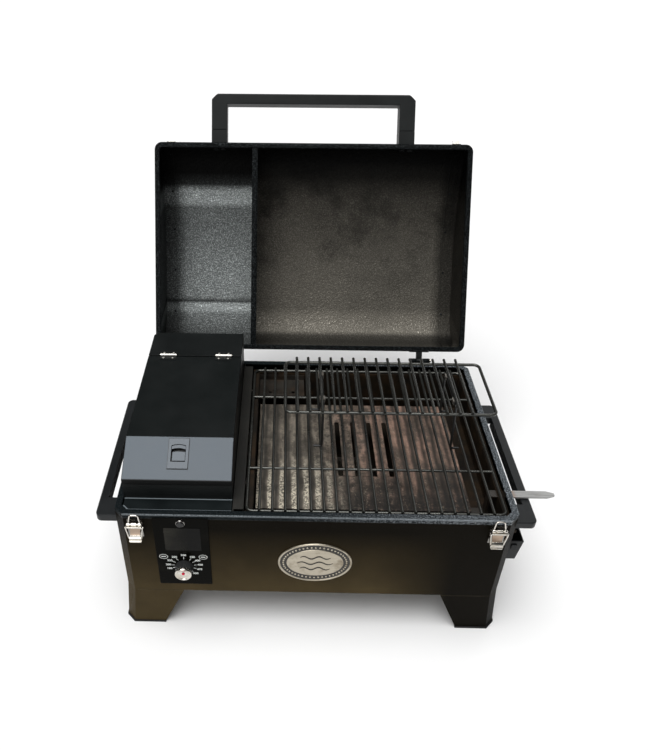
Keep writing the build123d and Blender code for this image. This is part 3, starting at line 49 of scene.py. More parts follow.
# ---------------------------------------------------------------- studio
# A pale floor that runs past the view, a broad soft light overhead, a weaker one low in front
# and a faint one behind, which glints on the wires and the rims.
# The camera stands before the open grill, a little to its left, and looks down into it.
def feed(node, inputs):
    """Feeds a node's inputs. A value that is a socket is joined up, any other is set."""
    for name, value in inputs.items():
        if isinstance(value, bpy.types.NodeSocket):
            node.id_data.links.new(value, node.inputs[name])
        elif node.inputs[name].type == "RGBA":
            node.inputs[name].default_value = (*value, 1)
        else:
            node.inputs[name].default_value = value


def put(tree, kind, inputs=None, **settings):
    """Adds a shader node."""
    node = tree.nodes.new("ShaderNode" + kind)
    for name, value in settings.items():
        setattr(node, name, value)
    feed(node, inputs or {})
    return node


def ramp(tree, value, *stops):
    """A colour ramp through (place, colour) stops; a single number is a grey."""
    node = put(tree, "ValToRGB", {"Fac": value})
    band = node.color_ramp
    for i, (place, colour) in enumerate(stops):
        stop = band.elements[i] if i < 2 else band.elements.new(place)
        stop.position = place
        stop.color = (*colour, 1) if hasattr(colour, "__len__") else (colour, colour, colour, 1)
    return node.outputs["Color"]


def mesh_object(name, points, faces):
    mesh = bpy.data.meshes.new(name)
    mesh.from_pydata(points, [], faces)
    piece = bpy.data.objects.new(name, mesh)
    scene.collection.objects.link(piece)
    return piece


floor_reach = 40.0
floor_tone = 0.85
floor_corners = [(x * floor_reach, y * floor_reach, 0) for x, y in ((-1, -1), (1, -1), (1, 1), (-1, 1))]
floor = mesh_object("floor", floor_corners, [(0, 1, 2, 3)])
floor_finish = bpy.data.materials.new("pale_floor")
floor_finish.use_nodes = True
floor_shader = floor_finish.node_tree.nodes["Principled BSDF"]
floor_shader.inputs["Base Color"].default_value = (floor_tone, floor_tone, floor_tone, 1)
floor_shader.inputs["Roughness"].default_value = 0.9
floor_shader.inputs["Specular IOR Level"].default_value = 0.0
floor.data.materials.append(floor_finish)

world = bpy.data.worlds.new("studio")
scene.world = world
world.use_nodes = True
tree = world.node_tree
direction = put(tree, "TexCoord").outputs["Generated"]
height = put(tree, "SeparateXYZ", {0: direction}).outputs["Z"]
sky = ramp(tree, height, (0.0, 0.30), (0.20, 0.26), (0.40, 0.035), (1.0, 0.07))
tree.links.new(sky, tree.nodes["Background"].inputs["Color"])

# Each lamp: its strength, how wide it looks, how far it leans and how far it is turned, in degrees.
for name, energy, width, lean, turn in (
    ("overhead_light", 3.4, 50, 13, -40),
    ("front_light", 0.68, 34, 70, -14),
    ("back_light", 0.26, 26, -48, -25),
):
    lamp = bpy.data.lights.new(name, "SUN")
    lamp.energy = energy
    lamp.angle = radians(width)
    light = bpy.data.objects.new(name, lamp)
    light.rotation_euler = (radians(lean), 0, radians(turn))
    scene.collection.objects.link(light)

camera_place = Vector((-0.07225, -1.01483, 1.02018))
camera_pitch = radians(35.938)
camera_yaw = radians(-1.289)
camera_roll = radians(-0.09)
camera_data = bpy.data.cameras.new("camera")
camera_data.lens = 33.495
camera_data.sensor_width = 36
camera_data.shift_x = 0.0745
camera_data.shift_y = -0.01556
camera = bpy.data.objects.new("camera", camera_data)
camera.location = camera_place
camera.rotation_euler = (pi / 2 - camera_pitch, camera_roll, -camera_yaw)
scene.collection.objects.link(camera)
scene.camera = camera
scene.view_settings.view_transform = "Standard"


# ---------------------------------------------------------------- base shell
# The body of the grill is one box of folded sheet steel, spot welded at its corners.
# It has a satin black powder coat, and the rolled rim round its top is a hammered coat.
def on_piece(tree):
    """The place on the piece, in metres."""
    return put(tree, "TexCoord").outputs["Object"]


def effect(name, numbers, *outputs):
    """A node group for an effect that several finishes share. It takes its place from the piece."""
    group = bpy.data.node_groups.new(name, "ShaderNodeTree")
    for label, value in numbers.items():
        socket = group.interface.new_socket(label, in_out="INPUT", socket_type="NodeSocketFloat")
        socket.default_value = value
    for label in outputs:
        group.interface.new_socket(label, in_out="OUTPUT", socket_type="NodeSocketFloat")
    given = group.nodes.new("NodeGroupInput").outputs
    result = group.nodes.new("NodeGroupOutput").inputs
    return group, given, result, on_piece(group)


def maths(tree, operation, *values, clamp=False):
    inputs = dict(enumerate(values))
    return put(tree, "Math", inputs, operation=operation, use_clamp=clamp).outputs[0]


def times(tree, *values, clamp=False):
    """The product of masks and numbers."""
    product = values[0]
    for value in values[1:]:
        product = maths(tree, "MULTIPLY", product, value, clamp=clamp)
    return product


def blend_colours(tree, mask, low, high):
    """Goes from the low colour to the high one as the mask rises."""
    return put(tree, "Mix", {0: mask, 6: low, 7: high}, data_type="RGBA").outputs[2]


def steps(tree, value, low, high, out_low=0.0, out_high=1.0):
    """An even slope from one level to the other, level beyond them."""
    return put(
        tree,
        "MapRange",
        {"Value": value, "From Min": low, "From Max": high, "To Min": out_low, "To Max": out_high},
    ).outputs[0]


def noise(tree, place, scale, detail=2.0, rough=0.5, stretch=None):
    if stretch:
        place = put(tree, "Mapping", {"Vector": place, "Scale": stretch}).outputs[0]
    inputs = {"Vector": place, "Scale": scale, "Detail": detail, "Roughness": rough}
    return put(tree, "TexNoise", inputs).outputs["Fac"]


powder, given, result, place = effect("powder_grain", {"Grains": 800.0}, "Height", "Tone")
fine = noise(powder, place, given["Grains"], 3.0, 0.6)
broad = noise(powder, place, 14.0, 3.0, 0.6)
powder.links.new(fine, result["Height"])
powder.links.new(steps(powder, broad, 0.3, 0.7), result["Tone"])

hammer, given, result, place = effect(
    "hammered_coat", {"Dimples": 300.0, "Flecks": 430.0}, "Height", "Fleck"
)
wander = put(hammer, "TexNoise", {"Vector": place, "Scale": 160.0, "Detail": 2.0}).outputs["Color"]
shifted = put(hammer, "MixRGB", {"Fac": 0.008, "Color1": place, "Color2": wander}).outputs[0]
cells = put(
    hammer,
    "TexVoronoi",
    {"Vector": shifted, "Scale": given["Dimples"], "Smoothness": 0.6},
    feature="SMOOTH_F1",
).outputs["Distance"]
grit = noise(hammer, place, given["Flecks"], 2.0, 0.6)
hammer.links.new(maths(hammer, "ADD", cells, times(hammer, grit, 0.5)), result["Height"])
hammer.links.new(steps(hammer, grit, 0.47, 0.72), result["Fleck"])


def use(tree, group, **numbers):
    node = tree.nodes.new("ShaderNodeGroup")
    node.node_tree = group
    feed(node, numbers)
    return node.outputs


def finish(name, specular=0.5):
    """A new material, its tree and its shader."""
    material = bpy.data.materials.new(name)
    material.use_nodes = True
    shader = material.node_tree.nodes["Principled BSDF"]
    shader.inputs["Specular IOR Level"].default_value = specular
    return material, material.node_tree, shader


def join(shader, **sockets):
    """Feeds a shader. In the names of its inputs an underline stands for a space."""
    feed(shader, {name.replace("_", " "): value for name, value in sockets.items()})


def relief(tree, height, depth, strength=1.0):
    inputs = {"Height": height, "Distance": depth, "Strength": strength}
    return put(tree, "Bump", inputs).outputs["Normal"]


def where(tree):
    """The place on the piece, as X, Y and Z."""
    return put(tree, "SeparateXYZ", {0: on_piece(tree)}).outputs


def dress(material, *names):
    """Gives CAD nodes their finish."""
    for name in names:
        cad[name].data.materials.clear()
        cad[name].data.materials.append(material)


def round_edges(piece, width, angle, segments=2):
    edges = piece.modifiers.new("edges", "BEVEL")
    edges.width = width
    edges.segments = segments
    edges.limit_method = "ANGLE"
    edges.angle_limit = radians(angle)
    edges.harden_normals = True


def soften(width, *names, angle=30, segments=2):
    """Rounds the edges of CAD nodes, as a fold, a coat of paint or a mould does."""
    for name in names:
        weld = cad[name].modifiers.new("weld", "WELD")
        weld.merge_threshold = 0.00002
        round_edges(cad[name], width, angle, segments)


shell_low, shell_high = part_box("base_shell")
rim_drop = 0.0095
rim_fade = 0.002
edge_highlight_width = 0.0016
seam_half = 0.0012
body_coat, tree, shader = finish("satin_black_powder", specular=0.025)
shader.inputs["Specular Tint"].default_value = (1.0, 0.86, 0.62, 1)
grain = use(tree, powder, Grains=800.0)
dimples = use(tree, hammer, Dimples=330.0, Flecks=540.0)
spot = where(tree)
on_rim = steps(tree, spot["Z"], shell_high.z - rim_drop, shell_high.z - rim_drop + rim_fade)

# Painted reflection: a warm brown reflection is painted into the coat low down, most of all in front
# and to the left.
low_down = steps(tree, spot["Z"], shell_high.z - 0.03, shell_low.z + 0.01)
leftward = steps(tree, spot["X"], shell_high.x - 0.08, shell_high.x - 0.20)
in_front = steps(tree, spot["Y"], shell_low.y + 0.10, shell_low.y + 0.03, 0.2, 1.0)
painted_brown_reflection = times(tree, low_down, leftward, in_front)
plain = blend_colours(tree, painted_brown_reflection, (0.0030, 0.0024, 0.0014), (0.062, 0.0450, 0.0205))
drift = steps(tree, grain["Tone"], 0, 1, 0, 0.35)
mottled = blend_colours(tree, drift, plain, (0.006, 0.0048, 0.0028))

# A speckled pale line is painted along the seam over the legs.
off_seam = maths(tree, "ABSOLUTE", maths(tree, "SUBTRACT", spot["Z"], shell_low.z))
seam_specks = steps(tree, grain["Height"], 0.45, 0.6, 0.0, 0.55)
seam = times(tree, steps(tree, off_seam, seam_half, seam_half / 2), seam_specks)
mottled = blend_colours(tree, seam, mottled, (0.11, 0.095, 0.065))

# The hammered rim is painted brighter towards the right, a painted highlight with more of its flecks
# showing there, and a painted highlight runs in specks along its outer edge.
painted_rim_light = steps(tree, spot["X"], shell_high.x - 0.333, shell_high.x - 0.013, 0.03, 0.75)
flecks = times(tree, dimples["Fleck"], painted_rim_light)
speckled = blend_colours(tree, painted_rim_light, (0.005, 0.0075, 0.0085), (0.020, 0.024, 0.027))
speckled = blend_colours(tree, flecks, speckled, (0.52, 0.57, 0.62))
# Painted highlight: pale specks along the top of the rim's front and right edges.
front_edge = steps(tree, spot["Y"], shell_low.y + edge_highlight_width, shell_low.y + edge_highlight_width - 0.001)
right_edge = steps(tree, spot["X"], shell_high.x - edge_highlight_width, shell_high.x - edge_highlight_width + 0.001)
near_top = steps(tree, spot["Z"], shell_high.z - 0.0034, shell_high.z - 0.0016)
edge_highlight_specks = steps(tree, grain["Height"], 0.35, 0.6, 0.1, 0.7)
painted_edge_highlight = times(tree, maths(tree, "MAXIMUM", front_edge, right_edge), near_top, edge_highlight_specks)
speckled = blend_colours(tree, painted_edge_highlight, speckled, (0.26, 0.29, 0.31))
fine = times(tree, grain["Height"], 0.28)
coarse = times(tree, dimples["Height"], 0.6)
join(
    shader,
    Base_Color=blend_colours(tree, on_rim, mottled, speckled),
    Roughness=steps(tree, on_rim, 0, 1, 0.42, 0.26),
    Metallic=times(tree, on_rim, flecks, 0.8),
    Normal=relief(tree, put(tree, "Mix", {0: on_rim, 2: fine, 3: coarse}).outputs[0], 0.0018, 0.8),
)
dress(body_coat, "base_shell", "legs")
soften(0.0008, "legs")
soften(0.0015, "base_shell", segments=3)

# ---------------------------------------------------------------- floor, divider and deck
# Inside the shell lie the bare steel floor, the feed and fire parts, the folded wall that keeps
# the fire from the pellets, and the coated deck plate before the hopper with its raised beads.
brushed, given, result, place = effect(
    "brushed_grain", {"Across": 900.0, "Along": 30.0}, "Height", "Tone"
)
parts = put(brushed, "SeparateXYZ", {0: place}).outputs
lines = put(
    brushed,
    "CombineXYZ",
    {
        0: times(brushed, parts["X"], given["Along"]),
        1: times(brushed, parts["Y"], given["Across"]),
        2: times(brushed, parts["Z"], given["Across"]),
    },
).outputs[0]
streak = noise(brushed, lines, 1.0, 3.0, 0.6)
brushed.links.new(streak, result["Height"])
brushed.links.new(steps(brushed, streak, 0.35, 0.65), result["Tone"])

smudges, given, result, place = effect("smudges", {"Patches": 22.0, "Spread": 0.5}, "Mask")
cloud = noise(smudges, place, given["Patches"], 5.0, 0.62)
low_edge = maths(smudges, "SUBTRACT", 0.85, times(smudges, given["Spread"], 0.6))
edge = maths(smudges, "SUBTRACT", cloud, low_edge)
smudges.links.new(times(smudges, edge, 5.0, clamp=True), result["Mask"])


def bare_metal(name, clean, dull, rough, grain_depth=0.00012, across=900.0):
    """Bare or plated sheet: brushed lines, duller patches and a slightly uneven shine."""
    material, tree, shader = finish(name)
    lines = use(tree, brushed, Across=across, Along=30.0)
    patches = use(tree, smudges, Patches=40.0, Spread=0.6)
    tone = blend_colours(tree, lines["Tone"], clean, [c * 0.82 for c in clean])
    join(
        shader,
        Base_Color=blend_colours(tree, patches["Mask"], tone, dull),
        Metallic=1.0,
        Roughness=steps(tree, patches["Mask"], 0, 1, rough, rough + 0.2),
        Normal=relief(tree, lines["Height"], grain_depth, 0.4),
    )
    return material


plain_steel = bare_metal("plain_steel", (0.30, 0.28, 0.25), (0.10, 0.085, 0.07), 0.42)
zinc = bare_metal("zinc_plate", (0.62, 0.62, 0.60), (0.40, 0.39, 0.36), 0.34)
dress(
    plain_steel,
    "floor_pan", "burn_pot", "burn_grate", "igniter_rod", "temperature_probe", "hopper_guard",
    "auger_tube", "auger_motor", "auger_screw", "rack_clips",
)
dress(zinc, "cup_hanger")


def powder_coat(name, low, high, rough, specular, grains=800.0, depth=0.0004):
    """A powder coat: a fine orange peel and a slow drift of tone."""
    material, tree, shader = finish(name, specular=specular)
    grain = use(tree, powder, Grains=grains)
    join(
        shader,
        Base_Color=blend_colours(tree, grain["Tone"], low, high),
        Roughness=steps(tree, grain["Tone"], 0, 1, rough, rough + 0.08),
        Normal=relief(tree, grain["Height"], depth, 0.5),
    )
    return material


black_coat = powder_coat("black_powder", (0.004, 0.005, 0.005), (0.008, 0.0095, 0.0095), 0.38, 0.2)
divider_coat = powder_coat("divider_powder", (0.010, 0.010, 0.009), (0.02, 0.019, 0.016), 0.5, 0.25)
dress(black_coat, "hopper_bin", "hopper_cover", "lid_hinge_leaves", "grease_cup")
dress(divider_coat, "divider_wall")
_, deck_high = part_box("hopper_deck")
deck_coat, tree, shader = finish("deck_powder", specular=0.12)
grain = use(tree, powder, Grains=800.0)
# The tops of the raised beads are painted a pale blue grey, a painted highlight.
raised = steps(tree, where(tree)["Z"], deck_high.z - 0.0008, deck_high.z - 0.0003)
deck_tone = blend_colours(tree, grain["Tone"], (0.004, 0.006, 0.0065), (0.009, 0.0125, 0.0135))
join(
    shader,
    Base_Color=blend_colours(tree, raised, deck_tone, (0.17, 0.20, 0.215)),
    Roughness=steps(tree, grain["Tone"], 0, 1, 0.34, 0.46),
    Normal=relief(tree, grain["Height"], 0.0004, 0.5),
)
dress(deck_coat, "hopper_deck")
soften(0.0006, "divider_wall")
soften(0.0003, "hopper_deck")


# ---------------------------------------------------------------- feet
# Strips of black rubber lie under the folded legs and turn up round their lower edges. They are
# pressed on, and keep the grill from sliding.
foot_rubber = powder_coat("foot_rubber", (0.006, 0.006, 0.006), (0.014, 0.013, 0.012), 0.7, 0.3)
dress(foot_rubber, "foot_strips")
soften(0.0006, "foot_strips")


# ---------------------------------------------------------------- firebox
# The liner, the flame broiler plate and the grease trough are bare steel that the fire has
# browned: soot in the corners, rust and pale ash where the heat is greatest.
def burnt_steel(name, base, rust, ash, soot_spread, ash_spread):
    """Steel that the fire has streaked, rusted, powdered with ash and sooted."""
    material, tree, shader = finish(name, specular=0.15)
    soot = use(tree, smudges, Patches=16.0, Spread=soot_spread)
    rusty = use(tree, smudges, Patches=34.0, Spread=0.75)
    ashes = use(tree, smudges, Patches=58.0, Spread=ash_spread)
    place = on_piece(tree)
    streaks = noise(tree, place, 1.0, 4.0, 0.6, stretch=(70, 9, 40))
    grit = noise(tree, place, 420.0, 3.0, 0.7)
    tone = blend_colours(tree, steps(tree, streaks, 0.35, 0.65), [c * 0.55 for c in base], base)
    tone = blend_colours(tree, rusty["Mask"], tone, rust)
    tone = blend_colours(tree, times(tree, ashes["Mask"], steps(tree, grit, 0.45, 0.6)), tone, ash)
    tone = blend_colours(tree, times(tree, soot["Mask"], 0.85), tone, (0.008, 0.007, 0.006))
    height = maths(tree, "ADD", times(tree, streaks, 0.6), grit)
    join(
        shader,
        Base_Color=tone,
        Roughness=steps(tree, grit, 0.3, 0.7, 0.5, 0.75),
        Metallic=0.15,
        Normal=relief(tree, height, 0.0008, 0.5),
    )
    return material


plate_low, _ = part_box("broiler_plate")
grate_low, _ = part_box("main_grate")
first_bar = grate_low.x + 0.011
bar_pitch = 0.01905
plate_steel, tree, shader = finish("burnt_plate", specular=0.3)
place = on_piece(tree)
spot = where(tree)
from_left = maths(tree, "SUBTRACT", spot["X"], plate_low.x)
wander = noise(tree, place, 26.0, 3.0, 0.6)
streaks = noise(tree, place, 1.0, 4.0, 0.6, stretch=(90, 12, 40))
grit = noise(tree, place, 330.0, 3.0, 0.75)
mottle = noise(tree, place, 110.0, 4.0, 0.7)
patchy = noise(tree, place, 19.0, 5.0, 0.65)
blotches = use(tree, smudges, Patches=30.0, Spread=0.55)
soot = use(tree, smudges, Patches=12.0, Spread=0.5)
pits = use(tree, smudges, Patches=75.0, Spread=0.12)

# The plate is grey to the left, reddened to the right, streaked, and darkest about its middle.
wander_right = maths(tree, "ADD", from_left, times(tree, wander, 0.12))
reddened = steps(tree, wander_right, 0.169, 0.259)
tone = blend_colours(tree, reddened, (0.27, 0.235, 0.19), (0.43, 0.27, 0.205))
tone = blend_colours(tree, steps(tree, streaks, 0.38, 0.62, 0, 0.85), tone, (0.085, 0.070, 0.054))
tone = blend_colours(tree, steps(tree, patchy, 0.50, 0.60, 0.0, 0.7), tone, (0.060, 0.054, 0.044))
sooty_line = 0.134
off_line = maths(tree, "ABSOLUTE", maths(tree, "SUBTRACT", from_left, sooty_line))
mid_dark = steps(tree, off_line, 0.075, 0.03, 0.35, 0.8)
speckles = times(tree, steps(tree, mottle, 0.46, 0.58), mid_dark)
tone = blend_colours(tree, speckles, tone, (0.045, 0.039, 0.032))
stains = times(tree, blotches["Mask"], steps(tree, grit, 0.4, 0.6))
tone = blend_colours(tree, stains, tone, (0.06, 0.052, 0.042))

# Under each bar of the grate a painted shadow of the bar darkens the plate, and between them it is
# burnt bare and pale, with the pale specks kept to the lit bands between the painted shadows.
along_bars = times(tree, maths(tree, "SUBTRACT", spot["X"], first_bar), 2 * pi / bar_pitch)
wave = maths(tree, "COSINE", maths(tree, "ADD", along_bars, times(tree, wander, 2.4)))
painted_bar_shadows = steps(tree, wave, 0.0, 0.95, 0.0, 0.8)
bare_and_lit_band = steps(tree, wave, 0.1, -0.6)
tone = blend_colours(tree, painted_bar_shadows, tone, (0.030, 0.027, 0.023))
left_part = steps(tree, from_left, 0.144, 0.089)
front_part = steps(tree, spot["Y"], plate_low.y + 0.12, plate_low.y + 0.05)
bright = times(tree, left_part, front_part, bare_and_lit_band, steps(tree, grit, 0.44, 0.56))
scattered = times(tree, steps(tree, grit, 0.57, 0.66), bare_and_lit_band, 0.5)
tone = blend_colours(tree, scattered, tone, (0.56, 0.47, 0.36))
tone = blend_colours(tree, bright, tone, (0.84, 0.77, 0.62))

# Soot and grease lie thick along the right half of the front, and in patches and pits elsewhere.
wander_back = maths(tree, "ADD", spot["Y"], times(tree, wander, 0.12))
front_soot = times(
    tree,
    steps(tree, from_left, 0.109, 0.159),
    steps(tree, wander_back, plate_low.y + 0.16, plate_low.y + 0.08),
    steps(tree, grit, 0.66, 0.52, 0.35, 0.95),
)
black = maths(tree, "MAXIMUM", times(tree, soot["Mask"], 0.75), front_soot)
black = maths(tree, "MAXIMUM", black, times(tree, pits["Mask"], 0.8))
join(
    shader,
    Base_Color=blend_colours(tree, black, tone, (0.012, 0.011, 0.0095)),
    Roughness=steps(tree, grit, 0.3, 0.7, 0.42, 0.7),
    Metallic=times(tree, bright, 0.5),
    Normal=relief(tree, maths(tree, "ADD", times(tree, streaks, 0.6), grit), 0.0012, 0.7),
)
liner_steel = burnt_steel(
    "burnt_liner", (0.020, 0.015, 0.009), (0.034, 0.020, 0.010), (0.11, 0.085, 0.055), 0.72, 0.22
)
bracket_steel = burnt_steel(
    "burnt_bracket", (0.040, 0.036, 0.030), (0.035, 0.024, 0.016), (0.16, 0.15, 0.125), 0.6, 0.35
)
dress(plate_steel, "broiler_plate")
dress(bracket_steel, "rear_bracket", "flame_slider")
dress(liner_steel, "firebox_liner", "grease_trough")
soften(0.0008, "broiler_plate", "grease_trough", "rear_bracket")

# The slider's pull strip is zinc plated. It has rusted where it leaves the body, and the part
# inside is black with soot.
strip_leaves = shell_high.x + 0.0028
strip_zinc, tree, shader = finish("strip_zinc")
lines = use(tree, brushed, Across=700.0, Along=20.0)
patches = use(tree, smudges, Patches=60.0, Spread=0.5)
place_x = where(tree)["X"]
ragged_x = maths(tree, "SUBTRACT", place_x, times(tree, patches["Mask"], 0.006))
rusty = steps(tree, ragged_x, strip_leaves + 0.010, strip_leaves, 0.0, 0.75)
inside = steps(tree, place_x, strip_leaves, strip_leaves - 0.006)
tone = blend_colours(tree, lines["Tone"], (0.25, 0.25, 0.245), (0.40, 0.40, 0.39))
tone = blend_colours(tree, times(tree, patches["Mask"], 0.5), tone, (0.20, 0.19, 0.17))
tone = blend_colours(tree, rusty, tone, (0.26, 0.11, 0.035))
join(
    shader,
    Base_Color=blend_colours(tree, inside, tone, (0.018, 0.014, 0.010)),
    Metallic=steps(tree, inside, 0, 1, 0.35, 0.0),
    Roughness=0.42,
    Normal=relief(tree, lines["Height"], 0.0002, 0.5),
)
dress(strip_zinc, "slider_strip")
soften(0.0007, "slider_strip")


# ---------------------------------------------------------------- hopper lid
# One sheet of steel folded into a sloping lid over the pellet hopper. Its top is smooth black,
# and the slope that faces the cook catches the light as a flat blue grey.
hopper_low, hopper_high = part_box("hopper_lid")
frame_low, frame_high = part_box("hopper_latch_frame")
slope_lean = radians(27.4)
frame_t = 0.0008
latch_long = 0.047
latch_drop = 0.0028
down_slope = Vector((0, -cos(slope_lean), -sin(slope_lean)))
off_slope = Vector((0, -sin(slope_lean), cos(slope_lean)))
latch_head = Vector((
    (frame_low.x + frame_high.x) / 2,
    frame_low.y + latch_long * cos(slope_lean) + frame_t * sin(slope_lean),
    frame_high.z - frame_t * cos(slope_lean),
))
slope_top = latch_head.y + latch_drop * cos(slope_lean)
slope_foot = hopper_low.y + 0.0012
fold_r = 0.0006
lid_coat, tree, shader = finish("hopper_lid_powder", specular=0.12)
grain = use(tree, powder, Grains=900.0)
depth_in = where(tree)["Y"]
below_bend = steps(tree, depth_in, slope_top + fold_r, slope_top - fold_r)
above_nose = steps(tree, depth_in, slope_foot - fold_r, slope_foot + fold_r)
# The slope's blue grey and its metallic shine are a painted reflection of the light overhead.
sloping = times(tree, below_bend, above_nose)
top_black = blend_colours(tree, grain["Tone"], (0.006, 0.0075, 0.0075), (0.010, 0.0115, 0.0115))
black = blend_colours(tree, above_nose, (0.0015, 0.0018, 0.0018), top_black)
grey = blend_colours(tree, grain["Tone"], (0.042, 0.048, 0.054), (0.050, 0.056, 0.062))
join(
    shader,
    Base_Color=blend_colours(tree, sloping, black, grey),
    Metallic=times(tree, sloping, 0.85),
    Roughness=steps(tree, grain["Tone"], 0, 1, 0.34, 0.4),
    Normal=relief(tree, grain["Height"], 0.0003, 0.4),
)
dress(lid_coat, "hopper_lid")
soften(0.0012, "hopper_lid", segments=3)
soften(0.0004, "hopper_cover")

# Its two small hinges are black too, but the rivet heads and the barrels are painted bright steel:
# bare steel on the rivet heads, a painted highlight on the barrels.
leaf_top = hopper_high.z + 0.0011
hinge_steel, tree, shader = finish("small_hinge_steel", specular=0.2)
grain = use(tree, powder, Grains=900.0)
bare = steps(tree, where(tree)["Z"], leaf_top, leaf_top + 0.0004)
leaf_black = blend_colours(tree, grain["Tone"], (0.008, 0.009, 0.009), (0.014, 0.015, 0.015))
bright_steel_and_highlight = blend_colours(tree, grain["Tone"], (0.55, 0.53, 0.49), (0.78, 0.76, 0.71))
join(
    shader,
    Base_Color=blend_colours(tree, bare, leaf_black, bright_steel_and_highlight),
    Metallic=times(tree, bare, 0.75),
    Roughness=0.3,
    Normal=relief(tree, grain["Height"], 0.0002, 0.4),
)
dress(hinge_steel, "hopper_lid_leaves", "hopper_cover_leaves")


# ---------------------------------------------------------------- plastics
# The side handles, the lid's handle and its posts, the control box, the fan and the power inlet
# are moulded in black plastic with a fine grain. The handles have rounded edges and are screwed on.
def moulded(name, low, high, rough, specular):
    """Moulded plastic with a fine grain."""
    return powder_coat(name, low, high, rough, specular, grains=1500.0, depth=0.00015)


side_plastic = moulded(
    "side_handle_plastic", (0.007, 0.008, 0.0085), (0.012, 0.0135, 0.0145), rough=0.36, specular=0.28
)
lid_plastic = moulded(
    "lid_handle_plastic", (0.007, 0.008, 0.008), (0.012, 0.0135, 0.0135), rough=0.42, specular=0.16
)
black_plastic = moulded(
    "black_plastic", (0.006, 0.006, 0.006), (0.011, 0.011, 0.011), rough=0.35, specular=0.3
)
dress(side_plastic, "side_handles")
dress(lid_plastic, "lid_handle", "lid_handle_posts")
dress(black_plastic, "control_box", "fan_housing", "fan_impeller", "power_inlet")
soften(0.0012, "side_handles", "lid_handle", segments=3)


# ---------------------------------------------------------------- control panel
# A gloss black plate on the front wall carries the smoked display window and the printed dial.
# The printing is white ink: ticks and plain numbers round the knob, and a ring on each side.
def rounded(corners, radius, parts=5):
    """An outline with its corners rounded off, each in so many parts."""
    outline = []
    for i, corner in enumerate(corners):
        corner = Vector(corner)
        back = Vector(corners[i - 1]) - corner
        ahead = Vector(corners[(i + 1) % len(corners)]) - corner
        start = corner + back.normalized() * radius
        end = corner + ahead.normalized() * radius
        for k in range(parts + 1):
            s = k / parts
            outline.append(start * (1 - s) ** 2 + corner * 2 * s * (1 - s) + end * s ** 2)
    return [tuple(point) for point in outline]


def oblong(half_u, half_v, radius=0.0, u=0.0, v=0.0):
    signs = ((-1, -1), (1, -1), (1, 1), (-1, 1))
    corners = [(u + i * half_u, v + k * half_v) for i, k in signs]
    return rounded(corners, radius) if radius else corners


def full_turn(count):
    """The angles of equal parts of a full turn."""
    return [2 * pi * i / count for i in range(count)]


def round_outline(half_u, half_v, count=48, u=0.0, v=0.0):
    return [(u + half_u * cos(a), v + half_v * sin(a)) for a in full_turn(count)]


def skin_rings(shape, rings, closed=False):
    """Joins rings of points with the same count into one surface, round to the first if closed."""
    rows = [[shape.verts.new(point) for point in ring] for ring in rings]
    pairs = list(zip(rows, rows[1:]))
    if closed:
        pairs.append((rows[-1], rows[0]))
    else:
        shape.faces.new(rows[0][::-1])
        shape.faces.new(rows[-1])
    for low, high in pairs:
        for i in range(len(low)):
            k = (i + 1) % len(low)
            shape.faces.new((low[i], low[k], high[k], high[i]))


def plate(shape, outline, place, low, high, hole=None):
    """A flat plate between two depths, with a hole of the same number of points if one is given."""
    if hole is None:
        skin_rings(shape, [[place(u, v, w) for u, v in outline] for w in (low, high)])
        return
    rings = [(outline, low), (outline, high), (hole, high), (hole, low)]
    skin_rings(shape, [[place(u, v, w) for u, v in path] for path, w in rings], closed=True)


def turned(shape, profile, place, half_u=0.0, half_v=0.0, count=48):
    """A turned shape from (radius, depth) points. With half sizes it is an oval, and radii are insets."""
    rings = []
    for radius, depth in profile:
        across, along = (half_u - radius, half_v - radius) if half_u else (radius, radius)
        rings.append([place(u, v, depth) for u, v in round_outline(across, along, count)])
    skin_rings(shape, rings)


def make_piece(name, shape, material, body, bevel=0.0, sharp=40):
    """Makes a piece from its shape, gives it its finish and lets it ride on a body."""
    bmesh.ops.recalc_face_normals(shape, faces=shape.faces)
    mesh = bpy.data.meshes.new(name)
    shape.to_mesh(mesh)
    shape.free()
    mesh.shade_smooth()
    mesh.set_sharp_from_angle(angle=radians(sharp))
    piece = bpy.data.objects.new(name, mesh)
    scene.collection.objects.link(piece)
    mesh.materials.append(material)
    if bevel:
        round_edges(piece, bevel, 32)
    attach(piece, body)
    return piece


def front_of(low, high):
    """Places points on a front face: across, up and out from the middle of a CAD box."""
    middle = (low + high) / 2

    def place(u, v, w):
        return Vector((middle.x + u, low.y - w, middle.z + v))

    return place


panel_low, panel_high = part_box("control_panel")
knob_low, knob_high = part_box("knob_skirt")
panel_place = front_of(panel_low, panel_high)
half_panel_h = (panel_high.z - panel_low.z) / 2
gloss_black, tree, shader = finish("gloss_black_panel", specular=0.025)
patches = use(tree, smudges, Patches=30.0, Spread=0.5)
join(
    shader,
    Base_Color=blend_colours(tree, patches["Mask"], (0.0024, 0.0023, 0.0017), (0.0055, 0.005, 0.0036)),
    Roughness=steps(tree, patches["Mask"], 0, 1, 0.12, 0.24),
)
dress(gloss_black, "control_panel")
soften(0.0005, "control_panel")

window_w = 0.0535
window_h = 0.049
window_drop = 0.0445
window_right = 0.0013
window_t = 0.0004
panel_mid = (panel_low.x + panel_high.x) / 2
# The window is painted lighter and warmer towards the left, in swirls: a painted reflection, like the one
# low on the front wall.
smoked, tree, shader = finish("smoked_window", specular=0.08)
swirl = noise(tree, on_piece(tree), 34.0, 2.0, 0.4)
towards_left = steps(tree, where(tree)["X"], panel_mid + 0.01, panel_low.x + 0.01)
painted_window_reflection = times(tree, towards_left, steps(tree, swirl, 0.35, 0.6, 0.4, 1.0))
join(
    shader,
    Base_Color=blend_colours(tree, painted_window_reflection, (0.0022, 0.0022, 0.0018), (0.021, 0.0195, 0.0145)),
    Roughness=steps(tree, swirl, 0.3, 0.7, 0.1, 0.3),
)
window = oblong(window_w / 2, window_h / 2, 0.0015, window_right, half_panel_h - window_drop)
shape = bmesh.new()
plate(shape, window, panel_place, -0.0002, window_t)
make_piece("display_window", shape, smoked, "base", bevel=0.0002)

